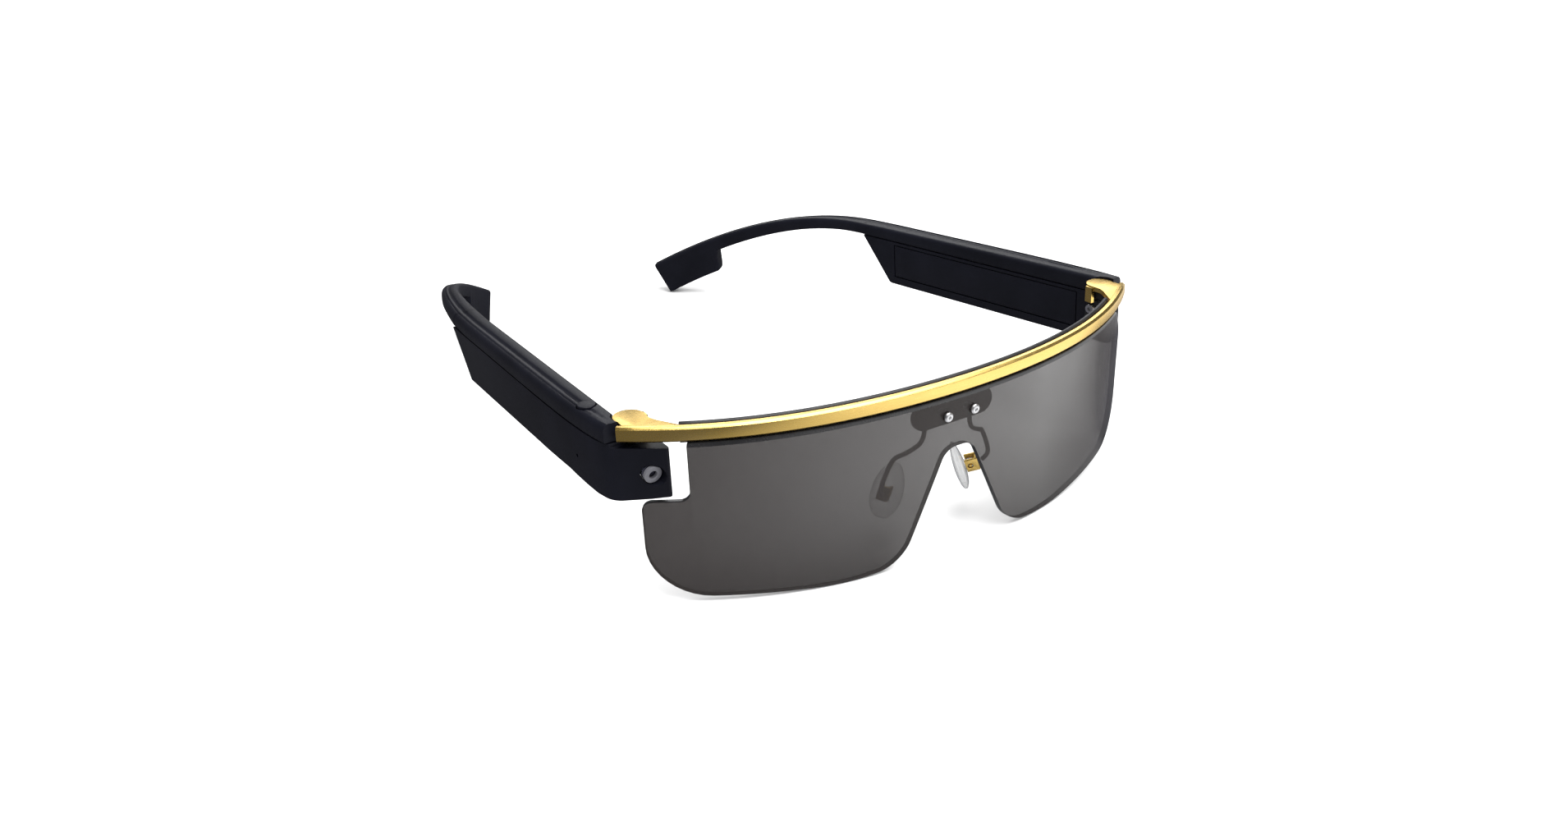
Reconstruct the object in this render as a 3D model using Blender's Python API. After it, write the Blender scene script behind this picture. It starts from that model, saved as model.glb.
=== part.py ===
"""Camera glasses: a gold brow bar with a tinted shield lens, a nose bridge on two wire arms,
and two folding temples that hold the camera, the electronics and the batteries.

The front is modelled in its own upright frame: +X is the wearer's left, -Y is forward, +Z is up,
and the lower edge of the brow bar's middle is the origin.  Each temple is modelled about its hinge
pin.  At the end the whole object is set down on its lens and its ear hooks, on z = 0.
"""
from math import cos, exp, pi, radians, sin, sqrt, tan

import bmesh
import bpy
from mathutils import Matrix, Vector

MM = 0.001

# ---- fits -------------------------------------------------------------------------------------
GAP = 0.3 * MM                  # between pieces that touch
TURN_GAP = 0.45 * MM            # round a piece that turns inside another
CUT_REACH = 10.0 * MM           # how far a cutting tool runs past the piece

# ---- front ------------------------------------------------------------------------------------
FRONT_WIDTH = 144.0 * MM        # tip to tip of the brow bar
FRONT_BOW = 0.2182              # y = BOW u^2 + WRAP u^4, in half widths, where u is 1 at the tip
FRONT_WRAP = 0.0941
BAR_HEIGHT = 3.4 * MM
BAR_DEPTH = 1.9 * MM
BAR_CHAMFER = 0.5 * MM
LINER_DEPTH = 1.1 * MM
LINER_ABOVE = 0.1 * MM          # how far the liner stands over the bar
LINER_BELOW = 1.2 * MM          # how far it hangs below the bar
LINER_END_INSET = 10.5 * MM     # from the bar's tip
LINER_CHAMFER = 0.3 * MM

# ---- lens -------------------------------------------------------------------------------------
LENS_THICKNESS = 1.6 * MM
LENS_SET_BACK = 0.3 * MM        # behind the bar's front face
LENS_HEIGHT = 38.8 * MM         # below the bar
LENS_SIDE_INSET = 3.9 * MM      # the lens's side, in from the bar's tip
LENS_CORNER = 12.5 * MM         # lower outer corners
LENS_RISE = 4.2 * MM            # the lower outer corners, above the bottom
LENS_TAPER = 1.5 * MM           # the sides lean in by this much at the bottom
LENS_BELLY = 0.5 * MM           # the bottom edge bows down by this much
LENS_CAMERA_REACH = 2.4 * MM    # the camera side reaches this much further out, under the pod
LENS_CAMERA_SAG = 1.9 * MM      # and its lower corner this much further down
LENS_SHOULDER = 4.5 * MM        # sideways cut of the upper outer corner
LENS_SHOULDER_DROP = 7.0 * MM   # and its height
NOSE_HALF_WIDTH = 15.5 * MM     # of the nose opening, at the bottom of the lens
NOSE_CORNER = 10.0 * MM         # radius where it meets the bottom
NOSE_TOP_HALF = 3.6 * MM        # half its width at the top
NOSE_TOP_CORNER = 4.0 * MM
NOSE_TOP = 12.3 * MM            # top of the nose opening, below the bar
NOTCH_WIDTH = 11.7 * MM         # camera notch, from the bar's tip
NOTCH_HEIGHT = 13.9 * MM
NOTCH_CORNER = 2.0 * MM

# ---- nose bridge ------------------------------------------------------------------------------
BRACKET_WIDTH = 22.0 * MM
BRACKET_HEIGHT = 6.4 * MM
BRACKET_THICKNESS = 1.4 * MM
BRACKET_SCREW_SPACING = 7.4 * MM
BRACKET_SCREW_HEAD = 1.15 * MM  # radius
BRACKET_SCREW_SHANK = 0.7 * MM  # radius
BRACKET_SCREW_RISE = 0.75 * MM  # height of its head
BRACKET_SCREW_SOCKET = 0.42 * MM
PAD_WIRE_RADIUS = 0.55 * MM
WIRE_SPACING = 12.6 * MM        # between the wires at the bracket
WIRE_BENDS = ((0, 0, 2.4), (0, 0, -2.0), (1.0, 0.3, -5.2), (4.0, 1.4, -7.2), (6.6, 3.0, -9.0))
WIRE_HOOK = (0.9, -1.0, 2.6)    # last bend before the pad; both in mm as (out, back, up)
PAD_SPACING = 21.0 * MM         # between the pads' middles
PAD_BACK = 13.0 * MM            # the pads' middles, behind the front of the bar
PAD_DROP = 26.2 * MM            # and below it
PAD_LENGTH = 14.0 * MM
PAD_WIDTH = 7.6 * MM
PAD_THICKNESS = 2.6 * MM
PAD_TURN = radians(38)          # the pad's face, turned back from straight sideways
PAD_SPLAY = radians(22)         # the pads stand closer together at the top
PAD_STEM_THICKNESS = 0.9 * MM
PAD_STEM_WIDTH = 2.2 * MM
PAD_BOX_WALL = 0.6 * MM
PAD_BOX_HEIGHT = 3.4 * MM
PAD_BOX_DEPTH = 2.2 * MM
PAD_SCREW_RADIUS = 0.4 * MM

# ---- hinges -----------------------------------------------------------------------------------
PIN_INSET = 5.0 * MM            # the hinge pin, in from the bar's tip
PIN_SET_BACK = 8.3 * MM         # and behind the bar's front face
HINGE_LEAN = radians(9)         # the hinge axes lean forward at the top
LEFT_REST_FOLD = radians(11.5)  # the wearer's left temple rests a little short of fully open
PIN_RADIUS = 0.95 * MM
LOBE_RADIUS = 3.4 * MM          # round end of the gold plate over the pin
PLATE_THICKNESS = 1.2 * MM
PLATE_SINK = 0.05 * MM          # its top, under the top of the bar
PLATE_START = 1.2 * MM          # it grows out of the bar, this far behind the bar's face
PLATE_OUTER = 1.0 * MM          # its outer end, in from the bar's tip
PLATE_INNER = 11.5 * MM         # its inner end, in from the bar's tip
TONGUE_THICKNESS = 2.0 * MM
TONGUE_RADIUS = 2.4 * MM
KNUCKLE_RADIUS = 2.4 * MM
KNUCKLE_HEIGHT = 5.6 * MM
KNUCKLE_TOP = -0.7 * MM         # from the bar's lower edge
KNUCKLE_ARM = 3.8 * MM          # width where it meets the temple
TAB_HEIGHT = 4.4 * MM           # gold tab turned down at the inner side of the lobe
TAB_WIDTH = 2.2 * MM
TAB_THICKNESS = 1.0 * MM
TAB_OFFSET = 0.5 * MM           # inside the lobe's edge
SET_SCREW_RADIUS = 1.2 * MM
SET_SCREW_PROUD = 0.5 * MM
SET_SCREW_SOCKET = 0.5 * MM     # radius of its hexagon

# ---- temples ----------------------------------------------------------------------------------
TEMPLE_LENGTH = 156.0 * MM      # from the hinge pin to the end, along the head
TEMPLE_WIDTH = 6.6 * MM
TEMPLE_OFFSET = 2.1 * MM        # the temple's inner face, outside the pin
TEMPLE_FRONT = 2.3 * MM         # how far the temple reaches in front of the pin
TEMPLE_TOP = 3.7 * MM           # its top at the hinge
TOP_FALL = 0.012                # slope of the straight top
CURVE_START = 76.0 * MM         # where the temple starts to bend in to the head
CURVE_RADIUS = 125.0 * MM
DROP_START = 87.0 * MM          # where it starts to bend down behind the ear
DROP_RADIUS = 128.0 * MM
HOOK_WIDTH = 4.8 * MM
NECK_DEPTH = 3.1 * MM           # height of the slim arm just behind the pod
NECK_END_DEPTH = 4.2 * MM       # and where the ear paddle starts
PADDLE_START = 138.8 * MM
PADDLE_DEPTH = 10.6 * MM
PADDLE_STEP = 2.5 * MM          # length of the step down to it
HOOK_TAPER = 25.0 * MM          # length over which the arm slims to the hook
FLARE = 3.1 * MM                # how much slimmer the outer side is at the very front
FLARE_START = 7.0 * MM          # in front of the pin
FLARE_LENGTH = 10.0 * MM
EDGE_CHAMFER = 1.2 * MM         # along the top
SEAM_CHAMFER = 0.05 * MM        # along the seam
HOOK_CHAMFER = 0.75 * MM        # under the neck and the hook

# ---- pods -------------------------------------------------------------------------------------
POD_BOTTOM = 12.4 * MM          # below the bar's lower edge
POD_END = 75.5 * MM             # rear end of the pod's underside
POD_SLANT = 9.5 * MM            # the rear end leans back by this much up to the arm
SEAM = -0.45 * MM               # height of the seam between arm and pod
POD_WALL = 1.4 * MM
POD_ROUND = 0.8 * MM            # lower edges
NOSE_INNER = 4.0 * MM           # the camera nose reaches this far inside the pin
NOSE_SET_BACK = 0.6 * MM        # of its front face, behind the bar's
NOSE_DEPTH = 6.3 * MM
NOSE_WALL = 2.2 * MM            # behind the camera
NOSE_TOP_GAP = 1.5 * MM         # under the bar
NOSE_CORNER_RUN = 4.2 * MM      # its face runs this far outside the pin, then turns back
CHIN_SIDE = 0.187               # slopes of the underside of the camera nose, down to the outside
CHIN_BACK = 0.106               # and down to the front
LEFT_POD_DEEPER = 1.6 * MM      # the wearer's left pod, which holds the larger battery
COVER_THICKNESS = 1.1 * MM
COVER_START = 8.0 * MM
COVER_END = 72.0 * MM
COVER_MARGIN = 1.1 * MM
LEDGE = 0.8 * MM

# ---- camera, button, electronics --------------------------------------------------------------
CAMERA_HEIGHT = 7.7 * MM        # below the bar
CAMERA_INSET = 1.0 * MM         # inside the hinge pin
CAMERA_DOWN = radians(12)
CAMERA_BORE = 2.3 * MM          # radius
CAMERA_RING_HOLE = 0.95 * MM    # radius
CAMERA_RING_LENGTH = 0.9 * MM
CAMERA_GLASS_LENGTH = 0.6 * MM
CAMERA_SINK = 0.5 * MM          # the ring, behind the face
BUTTON_RADIUS = 2.0 * MM
BUTTON_BACK = 9.5 * MM
BUTTON_SIDE = 5.0 * MM
BUTTON_PROUD = 0.25 * MM
BUTTON_LENGTH = 1.4 * MM
BUTTON_TRAVEL = 0.5 * MM
SWITCH_HEIGHT = 0.9 * MM
MIC_BACK = 10.0 * MM
MIC_HEIGHT = 7.6 * MM
MIC_HOLE = 0.45 * MM            # radius
MIC_RADIUS = 1.05 * MM
MIC_THICKNESS = 0.9 * MM
BATTERY_LENGTH = 27.0 * MM
BOARD_LENGTH = 18.0 * MM
BOARD_THICKNESS = 0.9 * MM
CHIP_LENGTH = 7.0 * MM
CHIP_THICKNESS = 1.1 * MM
USB_LENGTH = 9.0 * MM
USB_WIDTH = 3.1 * MM
USB_HEIGHT = 4.6 * MM
USB_WALL = 0.4 * MM
USB_SINK = 0.15 * MM            # above the pod's underside

# ---- worked out from the above ----------------------------------------------------------------
BAR_HALF = FRONT_WIDTH / 2
PIN_X = BAR_HALF - PIN_INSET
RIGHT, LEFT = -1, 1


# ================================ tools for building ============================================
def clear_scene():
    for old in list(bpy.data.objects):
        bpy.data.objects.remove(old, do_unlink=True)


def material(name, colour, roughness, metallic=0.0, alpha=1.0):
    mat = bpy.data.materials.new(name)
    mat.use_nodes = True
    shader = mat.node_tree.nodes["Principled BSDF"]
    shader.inputs["Base Color"].default_value = (*colour, 1.0)
    shader.inputs["Roughness"].default_value = roughness
    shader.inputs["Metallic"].default_value = metallic
    shader.inputs["Alpha"].default_value = alpha
    mat.diffuse_color = (*colour, alpha)
    return mat


def empty(name, parent=None, location=(0, 0, 0)):
    holder = bpy.data.objects.new(name, None)
    bpy.context.collection.objects.link(holder)
    holder.parent = parent
    holder.location = location
    return holder


def finish_mesh(bm, name, mat, parent, sharp=35):
    """Closes the bmesh into an object with outward faces."""
    bmesh.ops.remove_doubles(bm, verts=bm.verts, dist=0.001 * MM)
    bmesh.ops.recalc_face_normals(bm, faces=bm.faces)
    mesh = bpy.data.meshes.new(name)
    bm.to_mesh(mesh)
    bm.free()
    obj = bpy.data.objects.new(name, mesh)
    bpy.context.collection.objects.link(obj)
    obj.parent = parent
    if mat:
        mesh.materials.append(mat)
    mesh.shade_smooth()
    mesh.set_sharp_from_angle(angle=radians(sharp))
    return obj


def loft(name, rings, mat, parent, sharp=35):
    """A solid through rings of points that all have the same count."""
    bm = bmesh.new()
    layers = [[bm.verts.new(point) for point in ring] for ring in rings]
    count = len(rings[0])
    for near, far in zip(layers[:-1], layers[1:]):
        for i in range(count):
            j = (i + 1) % count
            bm.faces.new((near[i], near[j], far[j], far[i]))
    bm.faces.new(layers[0][::-1])
    bm.faces.new(layers[-1])
    return finish_mesh(bm, name, mat, parent, sharp)


def prism(name, outline, place, low, high, mat, parent, sharp=35):
    """An outline of (a, b) pairs, extruded from low to high; place(a, b, c) gives each point."""
    rings = [[place(a, b, c) for a, b in outline] for c in (low, high)]
    return loft(name, rings, mat, parent, sharp)


def circle(radius, sides, centre=(0, 0), start=0.0, stop=2 * pi):
    full = abs(stop - start) > 2 * pi - 0.01
    steps = sides if full else sides - 1
    return [(centre[0] + radius * cos(start + (stop - start) * i / steps),
             centre[1] + radius * sin(start + (stop - start) * i / steps)) for i in range(sides)]


def rod(name, start, end, radius, mat, parent, sides=20):
    """A cylinder between two points."""
    start, end = Vector(start), Vector(end)
    along = (end - start).normalized()
    side = along.orthogonal().normalized()
    other = along.cross(side)
    rings = [[p + side * a + other * b for a, b in circle(radius, sides)] for p in (start, end)]
    return loft(name, rings, mat, parent)


def block(name, low, high, mat, parent):
    """A box between two corners."""
    outline = [(low[0], low[1]), (high[0], low[1]), (high[0], high[1]), (low[0], high[1])]
    return prism(name, outline, lambda a, b, c: Vector((a, b, c)), low[2], high[2], mat, parent)


def boolean(target, tool, operation="DIFFERENCE"):
    """Applies one Boolean and removes the tool."""
    modifier = target.modifiers.new("boolean", "BOOLEAN")
    modifier.operation = operation
    modifier.solver = "EXACT"
    modifier.object = tool
    bpy.context.view_layer.update()
    graph = bpy.context.evaluated_depsgraph_get()
    result = bpy.data.meshes.new_from_object(target.evaluated_get(graph))
    target.modifiers.remove(modifier)
    old, target.data = target.data, result
    name = old.name
    bpy.data.meshes.remove(old)
    result.name = name
    bpy.data.objects.remove(tool, do_unlink=True)
    bm = bmesh.new()
    bm.from_mesh(result)
    bmesh.ops.remove_doubles(bm, verts=bm.verts, dist=0.002 * MM)
    bmesh.ops.dissolve_degenerate(bm, edges=bm.edges, dist=0.002 * MM)
    bm.to_mesh(result)
    bm.free()
    result.shade_smooth()
    result.set_sharp_from_angle(angle=radians(35))
    return target


def smooth_path(points, steps):
    """A Catmull-Rom curve through the points."""
    pts = [Vector(p) for p in points]
    pts = [2 * pts[0] - pts[1]] + pts + [2 * pts[-1] - pts[-2]]
    path = []
    for i in range(1, len(pts) - 2):
        for k in range(steps):
            u = k / steps
            a, b, c, d = pts[i - 1:i + 3]
            path.append(0.5 * (2 * b + (c - a) * u + (2 * a - 5 * b + 4 * c - d) * u * u
                               + (3 * b - 3 * c + d - a) * u ** 3))
    return path + [pts[-2]]


def tube(name, path, radius, mat, parent, sides=10):
    """A round wire along a path."""
    side = (path[1] - path[0]).orthogonal().normalized()
    rings = []
    for i, point in enumerate(path):
        along = (path[min(i + 1, len(path) - 1)] - path[max(i - 1, 0)]).normalized()
        side = (side - along * side.dot(along)).normalized()
        other = along.cross(side)
        rings.append([point + side * a + other * b for a, b in circle(radius, sides)])
    return loft(name, rings, mat, parent)


# ================================ the front =====================================================
def front_y(x):
    share = x / BAR_HALF
    return BAR_HALF * (FRONT_BOW * share ** 2 + FRONT_WRAP * share ** 4)


def front_point(x, depth, z):
    """A point a given depth behind the bar's curved front face."""
    share = x / BAR_HALF
    slope = 2 * FRONT_BOW * share + 4 * FRONT_WRAP * share ** 3
    size = sqrt(1 + slope * slope)
    return Vector((x - depth * slope / size, front_y(x) + depth / size, z))


PIN_Y = front_y(PIN_X) + PIN_SET_BACK


def stations(half, count):
    return [half * (2 * i / (count - 1) - 1) for i in range(count)]


def chamfered(low, high, bottom, top, cut):
    """A rectangle with cut corners, as (depth, z) pairs."""
    return [(low + cut, bottom), (high - cut, bottom), (high, bottom + cut), (high, top - cut),
            (high - cut, top), (low + cut, top), (low, top - cut), (low, bottom + cut)]


def along_front(name, half, section, mat, parent, count=45):
    rings = [[front_point(x, depth, z) for depth, z in section] for x in stations(half, count)]
    return loft(name, rings, mat, parent, 25)


def plate_outline(side, inset, lobe, height):
    """Plan outline of the hinge plate: from the bar's back round the lobe over the pin."""
    centre_y = PIN_Y - tan(HINGE_LEAN) * height
    outer = front_point(BAR_HALF - PLATE_OUTER - inset, PLATE_START + inset, 0)
    root = front_point(BAR_HALF - PLATE_INNER + inset, PLATE_START + inset, 0)
    notch = (PIN_X + LOBE_RADIUS - 0.25 * MM - inset, centre_y - 1.5 * MM)
    arc = circle(lobe, 15, (PIN_X, centre_y), radians(-12), radians(180))
    neck = [(PIN_X - lobe + 0.2 * MM, centre_y - 3.2 * MM),
            (PIN_X - lobe - 0.4 * MM + inset, centre_y - 5.0 * MM)]
    points = [(outer.x, outer.y), notch] + arc + neck + [(root.x, root.y)]
    return [(side * x, y) for x, y in points]


def make_brow_trim(mat, parent):
    section = chamfered(0, BAR_DEPTH, 0, BAR_HEIGHT, BAR_CHAMFER)
    trim = along_front("brow_trim", BAR_HALF, section, mat, parent)
    top = BAR_HEIGHT - PLATE_SINK
    for side in (RIGHT, LEFT):
        outline = plate_outline(side, 0, LOBE_RADIUS, top)
        plate = prism("plate", outline, lambda a, b, c: Vector((a, b, c)),
                      top - PLATE_THICKNESS, top, None, parent)
        boolean(trim, plate, "UNION")
        x_inner = PIN_X - LOBE_RADIUS - TAB_OFFSET
        middle = PIN_Y - tan(HINGE_LEAN) * top
        low = (min(side * x_inner, side * (x_inner + TAB_THICKNESS)), middle - TAB_WIDTH / 2,
               BAR_HEIGHT - TAB_HEIGHT)
        high = (max(side * x_inner, side * (x_inner + TAB_THICKNESS)), middle + TAB_WIDTH / 2,
                top - PLATE_THICKNESS / 4)
        boolean(trim, block("tab", low, high, None, parent), "UNION")
    return trim


def make_front_frame(mat, parent):
    low = max(BAR_DEPTH, LENS_SET_BACK + LENS_THICKNESS) + GAP
    section = chamfered(low, low + LINER_DEPTH, -LINER_BELOW, BAR_HEIGHT + LINER_ABOVE,
                        LINER_CHAMFER)
    return along_front("front_frame", BAR_HALF - LINER_END_INSET, section, mat, parent)


def fillet(before, corner, after, radius, steps=5):
    """Points of an arc that rounds a corner of an outline."""
    corner = Vector(corner)
    one = (Vector(before) - corner).normalized()
    two = (Vector(after) - corner).normalized()
    half = one.angle(two) / 2
    reach = radius / tan(half)
    middle = corner + (one + two).normalized() * (radius / sin(half))
    start = corner + one * reach - middle
    end = corner + two * reach - middle
    turn = start.angle_signed(end)
    points = []
    for i in range(steps + 1):
        angle = -turn * i / steps
        rotated = Vector((start.x * cos(angle) - start.y * sin(angle),
                          start.x * sin(angle) + start.y * cos(angle)))
        points.append(tuple(middle + rotated))
    return points


def rounded(corners):
    """An outline of (x, z, radius) corners with each corner rounded."""
    outline = []
    for i, (x, z, radius) in enumerate(corners):
        before = corners[i - 1][:2]
        after = corners[(i + 1) % len(corners)][:2]
        outline += fillet(before, (x, z), after, radius) if radius else [(x, z)]
    return outline


def lens_outline():
    """The shield's outline seen from the front, clockwise from the wearer's left."""
    top = -GAP - PLATE_SINK
    side = BAR_HALF - LENS_SIDE_INSET
    bottom = -LENS_HEIGHT
    corner = (side - LENS_TAPER, bottom + LENS_RISE, LENS_CORNER)
    belly = (0.42 * side, bottom - LENS_BELLY, 60 * MM)
    nose = [(NOSE_HALF_WIDTH, bottom + LENS_BELLY, NOSE_CORNER),
            (NOSE_TOP_HALF, -NOSE_TOP - LENS_BELLY, NOSE_TOP_CORNER)]
    shoulder = [(side - LENS_SHOULDER, top, 0.8 * LENS_SHOULDER),
                (side, top - LENS_SHOULDER_DROP, 0.8 * LENS_SHOULDER_DROP)]
    middle = [corner, belly] + nose
    mirrored = [(-x, z, radius) for x, z, radius in reversed([belly] + nose)]
    outer = LENS_TAPER - side - LENS_CAMERA_REACH
    mirrored.append((outer, corner[1] - LENS_CAMERA_SAG, LENS_CORNER))
    notch = BAR_HALF - NOTCH_WIDTH
    camera_notch = [(outer, -NOTCH_HEIGHT, NOTCH_CORNER),
                    (-notch, -NOTCH_HEIGHT, NOTCH_CORNER), (-notch, top, NOTCH_CORNER / 2)]
    return rounded(shoulder + middle + mirrored + camera_notch)


def make_lens(mat, parent):
    low = LENS_SET_BACK
    high = LENS_SET_BACK + LENS_THICKNESS
    reach = LENS_HEIGHT + CUT_REACH
    section = [(low, -reach), (high, -reach), (high, GAP), (low, GAP)]
    lens = along_front("shield_lens", BAR_HALF, section, mat, parent, 49)
    outline = lens_outline()
    cutter = prism("outline", outline, lambda a, b, c: Vector((a, c, b)),
                   -CUT_REACH, front_y(BAR_HALF) + CUT_REACH, None, parent)
    boolean(lens, cutter, "INTERSECT")
    for side in (RIGHT, LEFT):
        x = side * BRACKET_SCREW_SPACING / 2
        z = bracket_middle()
        hole = rod("hole", (x, -CUT_REACH, z), (x, CUT_REACH, z), BRACKET_SCREW_SHANK + GAP,
                   None, parent)
        boolean(lens, hole)
    return lens


# ================================ nose bridge ===================================================
def bracket_middle():
    return -LINER_BELOW - 1.3 * GAP - BRACKET_HEIGHT / 2


def bracket_front():
    """The bracket is flat, so its front clears the curved lens at its ends."""
    edge = front_point(BRACKET_WIDTH / 2, LENS_SET_BACK + LENS_THICKNESS, 0)
    return edge.y + GAP


def make_bracket(mat, parent):
    radius = BRACKET_HEIGHT / 2
    z = bracket_middle()
    straight = BRACKET_WIDTH / 2 - radius
    outline = circle(radius, 11, (straight, z), -pi / 2, pi / 2)
    outline += circle(radius, 11, (-straight, z), pi / 2, 3 * pi / 2)
    front = bracket_front()
    bracket = prism("nose_bracket", outline, lambda a, b, c: Vector((a, c, b)),
                    front, front + BRACKET_THICKNESS, mat, parent)
    for side in (RIGHT, LEFT):
        x = side * BRACKET_SCREW_SPACING / 2
        hole = rod("hole", (x, -CUT_REACH, z), (x, CUT_REACH, z), BRACKET_SCREW_SHANK + GAP,
                   None, parent)
        boolean(bracket, hole)
    return bracket


def make_bracket_screw(side, mat, parent):
    """A pan-head screw put in from the front, through lens and bracket."""
    x = side * BRACKET_SCREW_SPACING / 2
    z = bracket_middle()
    face = front_point(x, LENS_SET_BACK, 0).y - GAP
    top = face - BRACKET_SCREW_RISE
    end = bracket_front() + BRACKET_THICKNESS + GAP
    profile = [(0.7 * BRACKET_SCREW_HEAD, top), (BRACKET_SCREW_HEAD, top + 0.4 * BRACKET_SCREW_RISE),
               (BRACKET_SCREW_HEAD, face), (BRACKET_SCREW_SHANK, face), (BRACKET_SCREW_SHANK, end)]
    rings = [[Vector((x + a, y, z + b)) for a, b in circle(radius, 20)] for radius, y in profile]
    screw = loft("bracket_screw_" + side_name(side), rings, mat, parent)
    socket = rod("socket", (x, top - MM, z), (x, top + BRACKET_SCREW_RISE / 2, z),
                 BRACKET_SCREW_SOCKET, None, parent, 6)
    return boolean(screw, socket)


def pad_frame(side):
    """Middle of the pad and its axes: face (to the nose), width and length."""
    middle = Vector((side * PAD_SPACING / 2, PAD_BACK, -PAD_DROP))
    face = Vector((-side * cos(PAD_TURN), sin(PAD_TURN), 0))
    width = Vector((side * sin(PAD_TURN), cos(PAD_TURN), 0))
    lean = Matrix.Rotation(-side * PAD_SPLAY, 3, Vector((0, 1, 0)))
    face = lean @ face
    width = lean @ width
    return middle, face, width, face.cross(width).normalized() * (1 if side < 0 else -1)


def pad_pivot(side):
    middle, face, width, length = pad_frame(side)
    return middle - face * (PAD_THICKNESS / 2 + GAP + PAD_BOX_DEPTH / 2)


def in_pad_frame(side, centre):
    middle, face, width, length = pad_frame(side)
    return lambda a, b, c: centre + face * a + length * b + width * c


def make_pad(side, mat, parent):
    """A clear drop-shaped pad with a flat stem at its back."""
    middle, face, width, length = pad_frame(side)
    place = in_pad_frame(side, middle)
    rings = []
    steps = 10
    for i in range(1, steps):
        along = -cos(pi * i / steps)
        swell = sin(pi * i / steps) * (1.0 - 0.12 * along)
        ring = [place(PAD_THICKNESS / 2 * swell * cos(u), PAD_LENGTH / 2 * along,
                      PAD_WIDTH / 2 * swell * sin(u))
                for u in (2 * pi * k / 14 for k in range(14))]
        rings.append(ring)
    pad = loft("nose_pad_" + side_name(side), rings, mat, parent, 60)
    reach = PAD_THICKNESS / 2 + PAD_BOX_DEPTH
    half = PAD_STEM_WIDTH / 2
    outline = [(0, -half), (-reach, -half), (-reach, half), (0, half)]
    stem = prism("stem", outline, place, -PAD_STEM_THICKNESS / 2, PAD_STEM_THICKNESS / 2,
                 None, parent)
    boolean(pad, stem, "UNION")
    pivot = pad_pivot(side)
    hole = rod("hole", pivot - width * CUT_REACH, pivot + width * CUT_REACH, PAD_SCREW_RADIUS + GAP,
               None, parent, 14)
    return boolean(pad, hole)


def make_pad_box(side, mat, parent):
    """A U-shaped box: two cheeks beside the stem and a back, where the wire joins."""
    place = in_pad_frame(side, pad_pivot(side))
    half = PAD_STEM_THICKNESS / 2 + GAP
    outer = half + PAD_BOX_WALL
    front = PAD_BOX_DEPTH / 2
    back = -PAD_BOX_DEPTH / 2 - GAP
    outline = [(front, -outer), (front, -half), (back, -half), (back, half), (front, half),
               (front, outer), (back - PAD_BOX_WALL, outer), (back - PAD_BOX_WALL, -outer)]
    box = prism("pad_box_" + side_name(side), outline, lambda a, b, c: place(a, c, b),
                -PAD_BOX_HEIGHT / 2, PAD_BOX_HEIGHT / 2, mat, parent)
    width = pad_frame(side)[2]
    pivot = pad_pivot(side)
    hole = rod("hole", pivot - width * CUT_REACH, pivot + width * CUT_REACH, PAD_SCREW_RADIUS + GAP,
               None, parent, 14)
    return boolean(box, hole)


def make_pad_screw(side, mat, parent):
    width = pad_frame(side)[2]
    pivot = pad_pivot(side)
    reach = PAD_STEM_THICKNESS / 2 + GAP + PAD_BOX_WALL
    name = "pad_screw_" + side_name(side)
    return rod(name, pivot - width * reach, pivot + width * reach, PAD_SCREW_RADIUS, mat, parent, 12)


def make_pad_wire(side, mat, parent):
    """The bent wire from the bracket's lower edge to the back of the pad box."""
    face = pad_frame(side)[1]
    end = pad_pivot(side) - face * (PAD_BOX_DEPTH / 2 + PAD_BOX_WALL + 2 * GAP + PAD_WIRE_RADIUS)
    back = bracket_front() + BRACKET_THICKNESS + GAP + PAD_WIRE_RADIUS
    start = Vector((side * WIRE_SPACING / 2, back, bracket_middle() - BRACKET_HEIGHT / 3))
    points = [start + Vector((side * out, rear, up)) * MM for out, rear, up in WIRE_BENDS]
    out, rear, up = WIRE_HOOK
    points += [end + Vector((side * out, rear, up)) * MM, end]
    path = smooth_path(points, 5)
    return tube("pad_arm_" + side_name(side), path, PAD_WIRE_RADIUS, mat, parent)


# ================================ hinges ========================================================
def side_name(side):
    return "left" if side > 0 else "right"


def axis_point(height):
    """The point of the leaning pin axis at a height, in the temple's frame."""
    return Vector((0, -tan(HINGE_LEAN) * height, height))


def outward(side):
    """Maps (out, back, up) in a temple's frame to x, y, z."""
    return lambda a, b, c: Vector((side * a, b, c))


def make_tongue(side, mat, parent):
    """The front's leaf: a steel tongue under the gold plate, with an eye for the pin."""
    top = BAR_HEIGHT - PLATE_SINK - PLATE_THICKNESS - GAP
    inset = BAR_DEPTH - PLATE_START + GAP
    outline = plate_outline(side, inset, TONGUE_RADIUS, top - TONGUE_THICKNESS / 2)
    tongue = prism("hinge_tongue_" + side_name(side), outline, lambda a, b, c: Vector((a, b, c)),
                   top - TONGUE_THICKNESS, top, mat, parent)
    base = Vector((side * PIN_X, PIN_Y, 0))
    hole = rod("hole", base + axis_point(-CUT_REACH), base + axis_point(CUT_REACH),
               PIN_RADIUS + GAP, None, parent)
    return boolean(tongue, hole)


def make_pin(side, mat, parent):
    base = Vector((side * PIN_X, PIN_Y, 0))
    top = BAR_HEIGHT - PLATE_SINK - PLATE_THICKNESS - 2 * GAP
    low = KNUCKLE_TOP - KNUCKLE_HEIGHT
    return rod("hinge_pin_" + side_name(side), base + axis_point(low), base + axis_point(top),
               PIN_RADIUS, mat, parent)


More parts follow.
